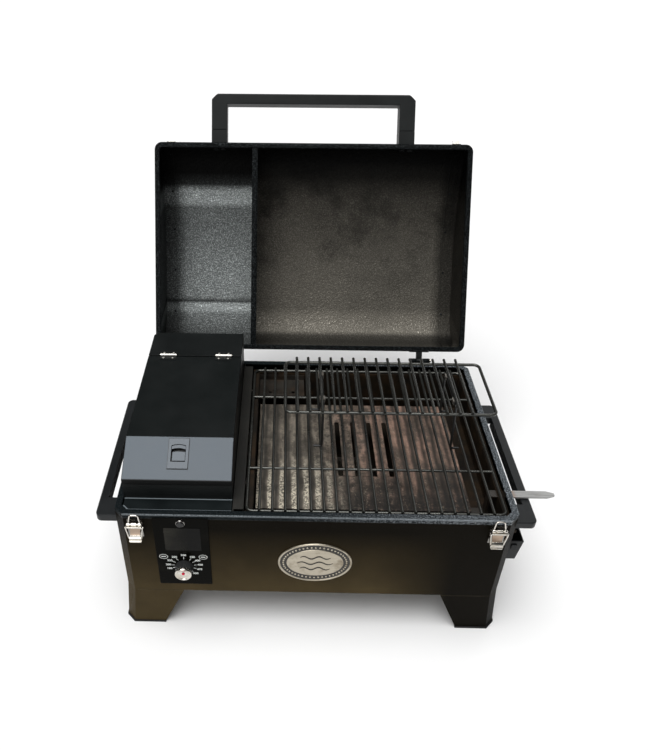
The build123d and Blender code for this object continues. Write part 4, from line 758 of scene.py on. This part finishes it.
ink, tree, shader = finish("white_ink", specular=0.3)
worn = noise(tree, on_piece(tree), 900.0, 2.0, 0.6)
join(
    shader,
    Base_Color=blend_colours(tree, steps(tree, worn, 0.35, 0.65), (0.55, 0.57, 0.55), (0.88, 0.90, 0.87)),
    Roughness=0.5,
)
ink_low = 0.00002
ink_high = 0.00009
tick_in = 0.0148
tick_out = 0.0205
tick_half = 0.00042
low_tick_cut = 0.0018
number_size = 0.0054
number_ring = 0.0242
labels = {
    197: "180", 176: "200", 151: "225", 125: "250", 90: "300",
    57: "350", 31: "400", 6: "450", -20: "475", -48: "500",
}
dial = front_of(Vector((knob_low.x, panel_low.y, knob_low.z)), knob_high)
shape = bmesh.new()
for degrees, label in labels.items():
    text = bpy.data.curves.new("number", "FONT")
    text.body = label
    text.size = number_size
    text.align_x = "CENTER"
    text.align_y = "CENTER"
    text.extrude = (ink_high - ink_low) / 2
    text.offset = 0.00016
    holder = bpy.data.objects.new("number", text)
    letters = bpy.data.meshes.new_from_object(holder)
    u = number_ring * cos(radians(degrees))
    v = number_ring * sin(radians(degrees))
    upright = Matrix.Rotation(pi / 2, 4, "X")
    letters.transform(Matrix.Translation(dial(u, v, (ink_low + ink_high) / 2)) @ upright)
    shape.from_mesh(letters)
    bpy.data.objects.remove(holder)
for degrees in labels:
    a = radians(degrees)
    along = Vector((cos(a), sin(a)))
    across = Vector((-sin(a), cos(a))) * tick_half
    start = along * tick_in
    end = along * (tick_out if 20 < degrees < 170 else tick_out - low_tick_cut)
    bar = [start - across, end - across, end + across, start + across]
    plate(shape, [tuple(p) for p in bar], dial, ink_low, ink_high)

# A small ring with a dash in it stands on each side, above the numbers.
ring_rise = 0.0206
ring_half_u = 0.0066
ring_half_v = 0.0052
for u in (-0.0300, 0.0295):
    ring = round_outline(ring_half_u, ring_half_v, 32, u, ring_rise)
    hole = round_outline(ring_half_u - 0.0008, ring_half_v - 0.0007, 32, u, ring_rise)
    plate(shape, ring, dial, ink_low, ink_high, hole)
    plate(shape, oblong(0.0034, 0.0008, u=u, v=ring_rise), dial, ink_low, ink_high)
make_piece("dial_print", shape, ink, "base")


# ---------------------------------------------------------------- knob and power button
# The knob is a ribbed black skirt with a dished chrome face that has a red dot at its middle.
# The power button sits in a chrome ring near the top of the panel.
chrome = bare_metal("chrome_plate", (0.74, 0.71, 0.65), (0.58, 0.53, 0.45), 0.14, 0.00004)
dull_chrome = bare_metal("dull_chrome", (0.30, 0.29, 0.27), (0.16, 0.15, 0.13), 0.22, 0.00004)
ribbed = moulded(
    "ribbed_skirt", (0.012, 0.0125, 0.0125), (0.022, 0.023, 0.023), rough=0.24, specular=0.8
)
dress(ribbed, "knob_skirt")
dress(chrome, "hinge_pins")
dress(dull_chrome, "latch_bases", "lid_catches")

cap_low, cap_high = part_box("knob_cap")
cap_r = (cap_high.x - cap_low.x) / 2
cap_t = cap_high.y - cap_low.y
face = front_of(cap_low, cap_high)
rim_of_cap = (
    (0.0002, -cap_t), (cap_r - 0.0004, -cap_t), (cap_r, -cap_t + 0.0005), (cap_r - 0.0003, -0.0012),
    (cap_r - 0.0009, -0.0002), (cap_r - 0.0016, 0.0), (cap_r - 0.0024, -0.0004), (cap_r - 0.0034, -0.0014),
)
dish = ((0.0060, -0.0022), (0.0030, -0.0026), (0.0002, -0.0027))
shape = bmesh.new()
turned(shape, rim_of_cap + dish, face, count=64)
knob_face = make_piece("knob_face", shape, chrome, "knob", sharp=60)
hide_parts("knob_cap")
red, tree, shader = finish("red_enamel", specular=0.5)
cloud = noise(tree, on_piece(tree), 400.0)
join(
    shader,
    Base_Color=blend_colours(tree, cloud, (0.50, 0.006, 0.03), (0.62, 0.012, 0.05)),
    Roughness=0.2,
)
dot = ((0.0002, -0.0024), (0.0024, -0.0024), (0.0023, -0.0018), (0.0016, -0.0013), (0.0002, -0.0011))
shape = bmesh.new()
turned(shape, dot, face, count=24)
make_piece("knob_dot", shape, red, "knob")

button_low, button_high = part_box("power_button")
button_r = (button_high.x - button_low.x) / 2 - 0.0007
button_plastic = powder_coat(
    "button_plastic", (0.006, 0.006, 0.006), (0.011, 0.011, 0.010), rough=0.2, specular=0.35
)
dress(button_plastic, "power_button")
seat = front_of(Vector((button_low.x, panel_low.y, button_low.z)), button_high)
chrome_ring = ((0.0002, 0.0), (0.0002, 0.0009), (0.0006, 0.0013), (0.0011, 0.0011), (0.0015, 0.0))
rings = []
for past_button, w in chrome_ring:
    outline = round_outline(button_r + past_button, button_r + past_button, 40)
    rings.append([seat(u, v, w) for u, v in outline])
shape = bmesh.new()
skin_rings(shape, rings, closed=True)
make_piece("button_ring", shape, dull_chrome, "base", sharp=60)

# The circuit board behind the panel is coated in green.
board_green = powder_coat(
    "board_green", (0.01, 0.06, 0.025), (0.015, 0.08, 0.03), rough=0.35, specular=0.5
)
dress(board_green, "control_board")


# ---------------------------------------------------------------- badge
# An oval badge of pressed metal: a raised border, a dark enamel ring and a raised middle with
# three plain wavy lines. It is riveted to the front wall.
badge_low, badge_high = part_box("badge_plate")
badge_u = (badge_high.x - badge_low.x) / 2
badge_v = (badge_high.z - badge_low.z) / 2
badge_metal = bare_metal("badge_metal", (0.50, 0.45, 0.36), (0.26, 0.22, 0.16), 0.34, across=1400.0)
enamel, tree, shader = finish("badge_enamel", specular=0.4)
grain = use(tree, powder, Grains=700.0)
join(
    shader,
    Base_Color=blend_colours(tree, grain["Tone"], (0.010, 0.009, 0.006), (0.020, 0.017, 0.011)),
    Roughness=0.35,
    Normal=relief(tree, grain["Height"], 0.0003, 0.4),
)
ring_in = 0.0034
ring_out = 0.0130
middle_w = 0.0021
badge_place = front_of(Vector((badge_low.x, badge_high.y, badge_low.z)), badge_high)
border = (
    (0.0, 0.0), (0.0, 0.0013), (0.0006, 0.0021), (0.0016, 0.0024), (0.0026, 0.0021), (0.0032, 0.0013),
)
middle = (
    (ring_in, 0.0012), (ring_out, 0.0012), (0.0132, 0.0017), (0.0140, middle_w), (0.0150, middle_w),
    (0.0420, middle_w),
)
shape = bmesh.new()
turned(shape, border + middle, badge_place, badge_u, badge_v, 96)
badge = make_piece("badge", shape, badge_metal, "base", sharp=50)
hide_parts("badge_plate")
enamel_ring = ((ring_in, 0.0011), (ring_in, 0.0014), (ring_out, 0.0014), (ring_out, 0.0011))
rings = []
for d, w in enamel_ring:
    outline = round_outline(badge_u - d, badge_v - d, 96)
    rings.append([badge_place(u, v, w) for u, v in outline])
shape = bmesh.new()
skin_rings(shape, rings, closed=True)
make_piece("badge_ring", shape, enamel, "base")

# Small beads stand all round in the middle of the dark ring.
bead_count = 48
bead = ((0.0016, 0.0013), (0.0014, 0.0018), (0.0009, 0.0022), (0.0001, 0.0023))
shape = bmesh.new()
mid_ring = (ring_in + ring_out) / 2
for u, v in round_outline(badge_u - mid_ring, badge_v - mid_ring, bead_count):
    turned(shape, bead, lambda p, q, w: badge_place(u + p, v + q, w), count=12)
make_piece("badge_beads", shape, badge_metal, "base")

# The wavy lines are thinnest at their ends.
wave_count = 3
wave_parts = 32
shape = bmesh.new()
for k in range(wave_count):
    centre_v = (k - 1) * 0.0125
    half = 0.027 - 0.004 * abs(k - 1)
    top, bottom = [], []
    for i in range(wave_parts + 1):
        u = -half + 2 * half * i / wave_parts
        v = centre_v + 0.0028 * sin(2 * pi * 2 * i / wave_parts)
        width = 0.0013 * sin(pi * (i + 0.6) / (wave_parts + 1.2)) ** 0.5
        top.append((u, v + width))
        bottom.append((u, v - width))
    plate(shape, top + bottom[::-1], badge_place, middle_w - 0.0001, middle_w + 0.00035)
make_piece("badge_waves", shape, enamel, "base")


# ---------------------------------------------------------------- latches
# Each draw latch is pressed steel: a tapering frame round a pressed seat, a roller across its top,
# a curled tab to pull on, and a narrow wire bail that leans on the rim. All of it is bright plated.
def wire(shape, path, r):
    """A round wire along a path of points."""
    path = [Vector(point) for point in path]
    rings = []
    for i, point in enumerate(path):
        along = (path[min(i + 1, len(path) - 1)] - path[max(i - 1, 0)]).normalized()
        aside = Vector((0, 1, 0)) if abs(along.y) < 0.9 else Vector((0, 0, 1))
        side = along.cross(aside).normalized()
        up = side.cross(along)
        rings.append([point + side * (r * cos(a)) + up * (r * sin(a)) for a in full_turn(12)])
    skin_rings(shape, rings)


def bent_strip(shape, rows, thick, place):
    """A pressed strip through (height, depth, half width) rows."""
    rings = []
    for v, w, half in rows:
        corners = ((-half, w), (half, w), (half, w + thick), (-half, w + thick))
        rings.append([place(u, v, depth) for u, depth in corners])
    skin_rings(shape, rings)


def wall_place(middle_x, wall_y, foot_z):
    """Turns across, up and out measures into places on a wall that faces forward."""
    return lambda u, v, w: Vector((middle_x + u, wall_y - w, foot_z + v))


# The roller is turned, with two grooves. The frame below it is open and tapers downwards.
roller_v = 0.0418
roller_w = 0.0062
roller_half = (
    (-0.0113, 0.0008), (-0.0111, 0.0017), (-0.0100, 0.0026), (-0.0066, 0.0026), (-0.0060, 0.0015),
    (-0.0042, 0.0015), (-0.0036, 0.0025),
)
roller = roller_half + tuple((-u, r) for u, r in reversed(roller_half))
frame_outer = rounded([(-0.0133, 0.0392), (0.0133, 0.0392), (0.0098, 0.0135), (-0.0098, 0.0135)], 0.0035)
frame_inner = rounded([(-0.0115, 0.0374), (0.0115, 0.0374), (0.0082, 0.0152), (-0.0082, 0.0152)], 0.0026)
tab_rows = (
    (0.0205, 0.0075, 0.0078), (0.0188, 0.0096, 0.0086), (0.0168, 0.0106, 0.0090),
    (0.0152, 0.0100, 0.0090), (0.0140, 0.0094, 0.0091), (0.0122, 0.0100, 0.0092),
    (0.0104, 0.0112, 0.0088), (0.0092, 0.0112, 0.0076),
)
seat_rows = (
    (0.0384, 0.0060, 0.0072), (0.0345, 0.0044, 0.0080), (0.0290, 0.0040, 0.0078),
    (0.0235, 0.0048, 0.0074), (0.0200, 0.0070, 0.0072),
)
sheet = 0.0009

# The bail is bent from one wire and leans back over the rim from its shoulders up.
wire_r = 0.0011
wire_w = 0.0048
shoulder_v = 0.0430
wire_foot = (0.0083, 0.0318)
wire_bends = [(0.0081, shoulder_v), (0.0058, 0.0562)]
wire_left = [(-u, v) for u, v in [wire_foot] + wire_bends]
bends = rounded(wire_left + wire_bends[::-1] + [wire_foot], 0.0026, 4)[5:-5]
bail_line = []
for u, v in [wire_left[0]] + bends + [wire_foot]:
    bail_line.append((u, v, wire_w - max(0.0, v - shoulder_v) * 0.2))

seat_steel = bare_metal("warm_plated_steel", (0.44, 0.34, 0.26), (0.25, 0.18, 0.13), 0.3, 0.00006)
for side in ("left", "right"):
    node = "latch_lever_" + side
    lever_low, lever_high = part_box(node)
    on_wall = wall_place((lever_low.x + lever_high.x) / 2, shell_low.y, lever_low.z)

    shape = bmesh.new()
    rings = []
    for u, r in roller:
        rings.append([on_wall(u, roller_v + r * sin(a), roller_w + r * cos(a)) for a in full_turn(20)])
    skin_rings(shape, rings)
    plate(shape, frame_outer, on_wall, 0.0058, 0.0098, frame_inner)
    bent_strip(shape, tab_rows, sheet, on_wall)
    lever = make_piece(
        "latch_pull_" + side, shape, chrome, "lever_" + side[0], bevel=0.0004, sharp=35
    )
    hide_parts(node)

    shape = bmesh.new()
    bent_strip(shape, seat_rows, sheet, on_wall)
    make_piece(
        "latch_seat_" + side, shape, seat_steel, "lever_" + side[0], bevel=0.0003, sharp=35
    )

    shape = bmesh.new()
    wire(shape, [on_wall(u, v, w) for u, v, w in bail_line], wire_r)
    bail = make_piece("latch_wire_" + side, shape, chrome, "bail_" + side[0], sharp=60)
    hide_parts("latch_bail_" + side)


# ---------------------------------------------------------------- hopper latch
# A moulded plate is let into the hopper lid's slope, in the same painted blue grey reflection as
# the slope. Its arched window shows the thumb tab, which slides down the slope to let the lid go.
def on_slope(u, v, w):
    return latch_head + Vector((u, 0, 0)) + down_slope * v + off_slope * w


def arched(half, top, bottom, rise, lower_rise=0.0):
    """An outline with an arched top edge and a flat or arched lower one."""
    parts = 16
    over, under = [], []
    for i in range(parts + 1):
        u = -half + 2 * half * i / parts
        bow = 1 - (u / half) ** 2
        over.append((u, top + rise * (1 - bow)))
        under.append((u, bottom + lower_rise * (1 - bow)))
    return over + under[::-1]


# Painted reflection: the plate and the thumb tab have the slope's painted blue grey sheen.
painted_sheen_plate, tree, shader = finish("latch_plate_painted_sheen", specular=0.2)
grain = use(tree, powder, Grains=1200.0)
join(
    shader,
    Base_Color=blend_colours(tree, grain["Tone"], (0.046, 0.051, 0.056), (0.056, 0.061, 0.067)),
    Metallic=0.85,
    Roughness=steps(tree, grain["Tone"], 0, 1, 0.3, 0.38),
    Normal=relief(tree, grain["Height"], 0.0002, 0.4),
)
plate_half = (frame_high.x - frame_low.x) / 2
arch = 0.0022
shape = bmesh.new()
window = arched(0.0107, 0.0095, 0.0360, arch)
plate(shape, arched(plate_half, 0.0, latch_long, 0.0), on_slope, 0.0003, 0.0018, window)
plate(shape, arched(0.0106, 0.0096, 0.0152, arch, arch), on_slope, -0.0012, 0.0006)
latch_cover = make_piece(
    "latch_plate", shape, painted_sheen_plate, "hopper_lid_body", bevel=0.0005
)
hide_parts("hopper_latch_frame")

# Under the plate lie a thin black band round it, painted shade for the shadow gap at its edge, and
# the floor and the two sides of the well.
shadow_gap = 0.0007
well_floor = -0.0058
shape = bmesh.new()
around = arched(plate_half + shadow_gap, -shadow_gap, latch_long + shadow_gap, 0.0)
plate(shape, around, on_slope, 0.0, 0.0003, arched(0.0109, 0.0093, 0.0362, arch))
plate(shape, arched(0.0112, 0.0090, 0.0365, arch), on_slope, well_floor - 0.0007, well_floor)
for u in (-0.0110, 0.0110):
    plate(shape, oblong(0.0002, 0.0137, u=u, v=0.0228), on_slope, well_floor - 0.0002, 0.0)
make_piece("latch_well", shape, black_plastic, "hopper_lid_body")

# The thumb tab is a flat arched slide that sits a little to the right in the window.
shape = bmesh.new()
tab = [(u + 0.0006, v) for u, v in arched(0.0097, 0.0198, 0.0345, 0.0012)]
plate(shape, tab, on_slope, -0.0022, 0.0)
thumb_tab = make_piece(
    "latch_thumb_tab", shape, painted_sheen_plate, "hopper_thumb", bevel=0.0004
)
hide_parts("hopper_thumb_slide")


# ---------------------------------------------------------------- grates
# The grate, the rack and the rack's folding legs are round steel wire, welded where they cross.
# A thin dark porcelain coat has taken a metallic shine from the heat and the grease.
def coated_wire(name, low, high, shine, rough):
    """Wire with a porcelain coat, darker where it has burnt."""
    material, tree, shader = finish(name, specular=0.5)
    grain = use(tree, powder, Grains=600.0)
    burnt = use(tree, smudges, Patches=45.0, Spread=0.45)
    tone = blend_colours(tree, grain["Tone"], low, high)
    burnt_tone = [c * 0.3 for c in low]
    join(
        shader,
        Base_Color=blend_colours(tree, times(tree, burnt["Mask"], 0.6), tone, burnt_tone),
        Metallic=shine,
        Roughness=steps(tree, burnt["Mask"], 0, 1, rough, rough + 0.2),
        Normal=relief(tree, grain["Height"], 0.0003, 0.5),
    )
    return material


grate_wire = coated_wire("grate_wire", (0.040, 0.041, 0.038), (0.085, 0.086, 0.078), 0.7, 0.2)
leg_wire = coated_wire("leg_wire", (0.006, 0.006, 0.006), (0.012, 0.012, 0.011), 0.1, 0.3)
dress(grate_wire, "main_grate", "upper_rack")
dress(leg_wire, "rack_leg_left", "rack_leg_right")


# ---------------------------------------------------------------- lid
# The deep lid is one folded skin, spot welded to two pressed ends, with a rim and a partition of
# pressed steel. All of it has a hammered coat. Inside, light and shade are painted into the coat:
# painted bright bands where the walls face up to the light, and painted shade higher up where they
# face down and towards the end walls. Over the fire it is browner, with patches of soot, and it is
# shinier where it is painted bright.
lid_low, lid_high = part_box("lid_skin")
wall_low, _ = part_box("lid_partition")
lid_hammered, tree, shader = finish("lid_hammered", specular=0.05)
dimples = use(tree, hammer, Dimples=300.0, Flecks=500.0)
spot = where(tree)
grill_side = steps(tree, spot["X"], wall_low.x + 0.004, wall_low.x + 0.006)
coords = put(tree, "TexCoord").outputs
lid_mouth = ((lid_low.x + lid_high.x) / 2, lid_low.y, (lid_low.z + lid_high.z) / 2)
to_mouth = put(tree, "VectorMath", {0: lid_mouth, 1: coords["Object"]}, operation="SUBTRACT").outputs
towards = {0: to_mouth["Vector"], 1: coords["Normal"]}
facing_in = put(tree, "VectorMath", towards, operation="DOT_PRODUCT").outputs["Value"]
inside = steps(tree, facing_in, 0.0, 0.004)
fire_side = times(tree, grill_side, inside)

# Painted light: how bright the coat is painted at each height, on the pellet side and on the grill
# side of the partition, with painted bright bands and painted shade towards the top.
up = steps(tree, spot["Z"], lid_low.z, lid_high.z)
pellet_side_light = ramp(
    tree, up,
    (0.0, 0.10), (0.085, 0.50), (0.105, 1.0), (0.135, 1.0), (0.147, 0.10), (0.170, 0.56), (0.25, 0.54),
    (0.52, 0.40), (0.615, 0.39), (0.645, 1.0), (0.70, 0.95), (0.74, 0.06), (0.80, 0.0),
)
grill_side_light = ramp(
    tree, up,
    (0.0, 0.08), (0.012, 0.25), (0.022, 0.90), (0.085, 0.95), (0.12, 0.56), (0.45, 0.42), (0.66, 0.26),
    (0.78, 0.05), (0.86, 0.0),
)
# Painted shade darkens the coat towards each end wall.
from_right = maths(tree, "SUBTRACT", lid_high.x, spot["X"])
from_left = maths(tree, "SUBTRACT", spot["X"], lid_low.x)
from_end = maths(tree, "MINIMUM", from_right, from_left)
clean = times(
    tree,
    blend_colours(tree, grill_side, pellet_side_light, grill_side_light),
    steps(tree, from_end, 0.010, 0.030, 0.30, 1.0),
)
# Soot lies in patches over the fire; the patches are made darker higher up, painted shade where the lid
# faces down.
patches = use(tree, smudges, Patches=11.0, Spread=0.58)
haze = use(tree, smudges, Patches=5.0, Spread=0.7)
smoke = maths(tree, "ADD", times(tree, patches["Mask"], 0.7), times(tree, haze["Mask"], 0.3))
soot = times(tree, smoke, steps(tree, up, 0.20, 0.50, 0.25, 1.0), grill_side, clamp=True)
shown = steps(tree, inside, 0, 1, 0.05, times(tree, clean, maths(tree, "SUBTRACT", 1.0, soot)))
tint = blend_colours(tree, fire_side, (0.225, 0.243, 0.240), (0.145, 0.134, 0.112))
fleck_tint = blend_colours(tree, fire_side, (0.90, 0.96, 0.95), (0.30, 0.28, 0.24))
# The flecks glint most where the coat is painted brightest.
flecks = times(tree, dimples["Fleck"], shown, 0.9)
coat = blend_colours(tree, shown, (0.0022, 0.0022, 0.0021), tint)
join(
    shader,
    Base_Color=blend_colours(tree, flecks, coat, fleck_tint),
    Metallic=times(tree, flecks, 0.85),
    Roughness=steps(tree, shown, 0, 1, 0.5, 0.27),
    Normal=relief(tree, dimples["Height"], 0.0015, 0.8),
)
rim_hammered, tree, shader = finish("rim_hammered", specular=0.04)
dimples = use(tree, hammer, Dimples=300.0)
fleck = dimples["Fleck"]
join(
    shader,
    Base_Color=blend_colours(tree, fleck, (0.0018, 0.0023, 0.0024), (0.030, 0.034, 0.036)),
    Metallic=times(tree, fleck, 0.7),
    Roughness=0.3,
    Normal=relief(tree, dimples["Height"], 0.0009, 0.6),
)
dress(lid_hammered, "lid_skin", "lid_end_panels")
dress(rim_hammered, "lid_rim", "lid_partition")
soften(0.0012, "lid_rim", "lid_partition")

# Each spot weld leaves a small raised dot on the flanges of the pressed ends.
ends = cad["lid_end_panels"].data
flanges = BVHTree.FromPolygons([v.co for v in ends.vertices], [face.vertices for face in ends.polygons])
weld_r = 0.0021
weld_dot = ((weld_r, -0.0003), (weld_r, 0.0001), (weld_r * 0.7, 0.0006), (0.0001, 0.0008))
weld_inset = 0.0058
weld_heights = (0.559, 0.486, 0.411, 0.337, 0.263)
backwards = Vector((0, 1, 0))
shape = bmesh.new()
for x in (lid_low.x + weld_inset, lid_high.x - weld_inset):
    for z in weld_heights:
        start = Vector((x, lid_low.y + 0.03, z))
        weld_place, weld_normal, _, _ = flanges.ray_cast(start, backwards)
        if weld_place is None:
            continue
        turn = weld_normal.to_track_quat("Z", "Y").to_matrix()
        turned(shape, weld_dot, lambda u, v, w: weld_place + turn @ Vector((u, v, w)), count=12)
make_piece("lid_spot_welds", shape, rim_hammered, "lid")

# The base leaves of the two lid hinges have the same coat as the rim.
dress(rim_hammered, "lid_hinge_base_leaves")
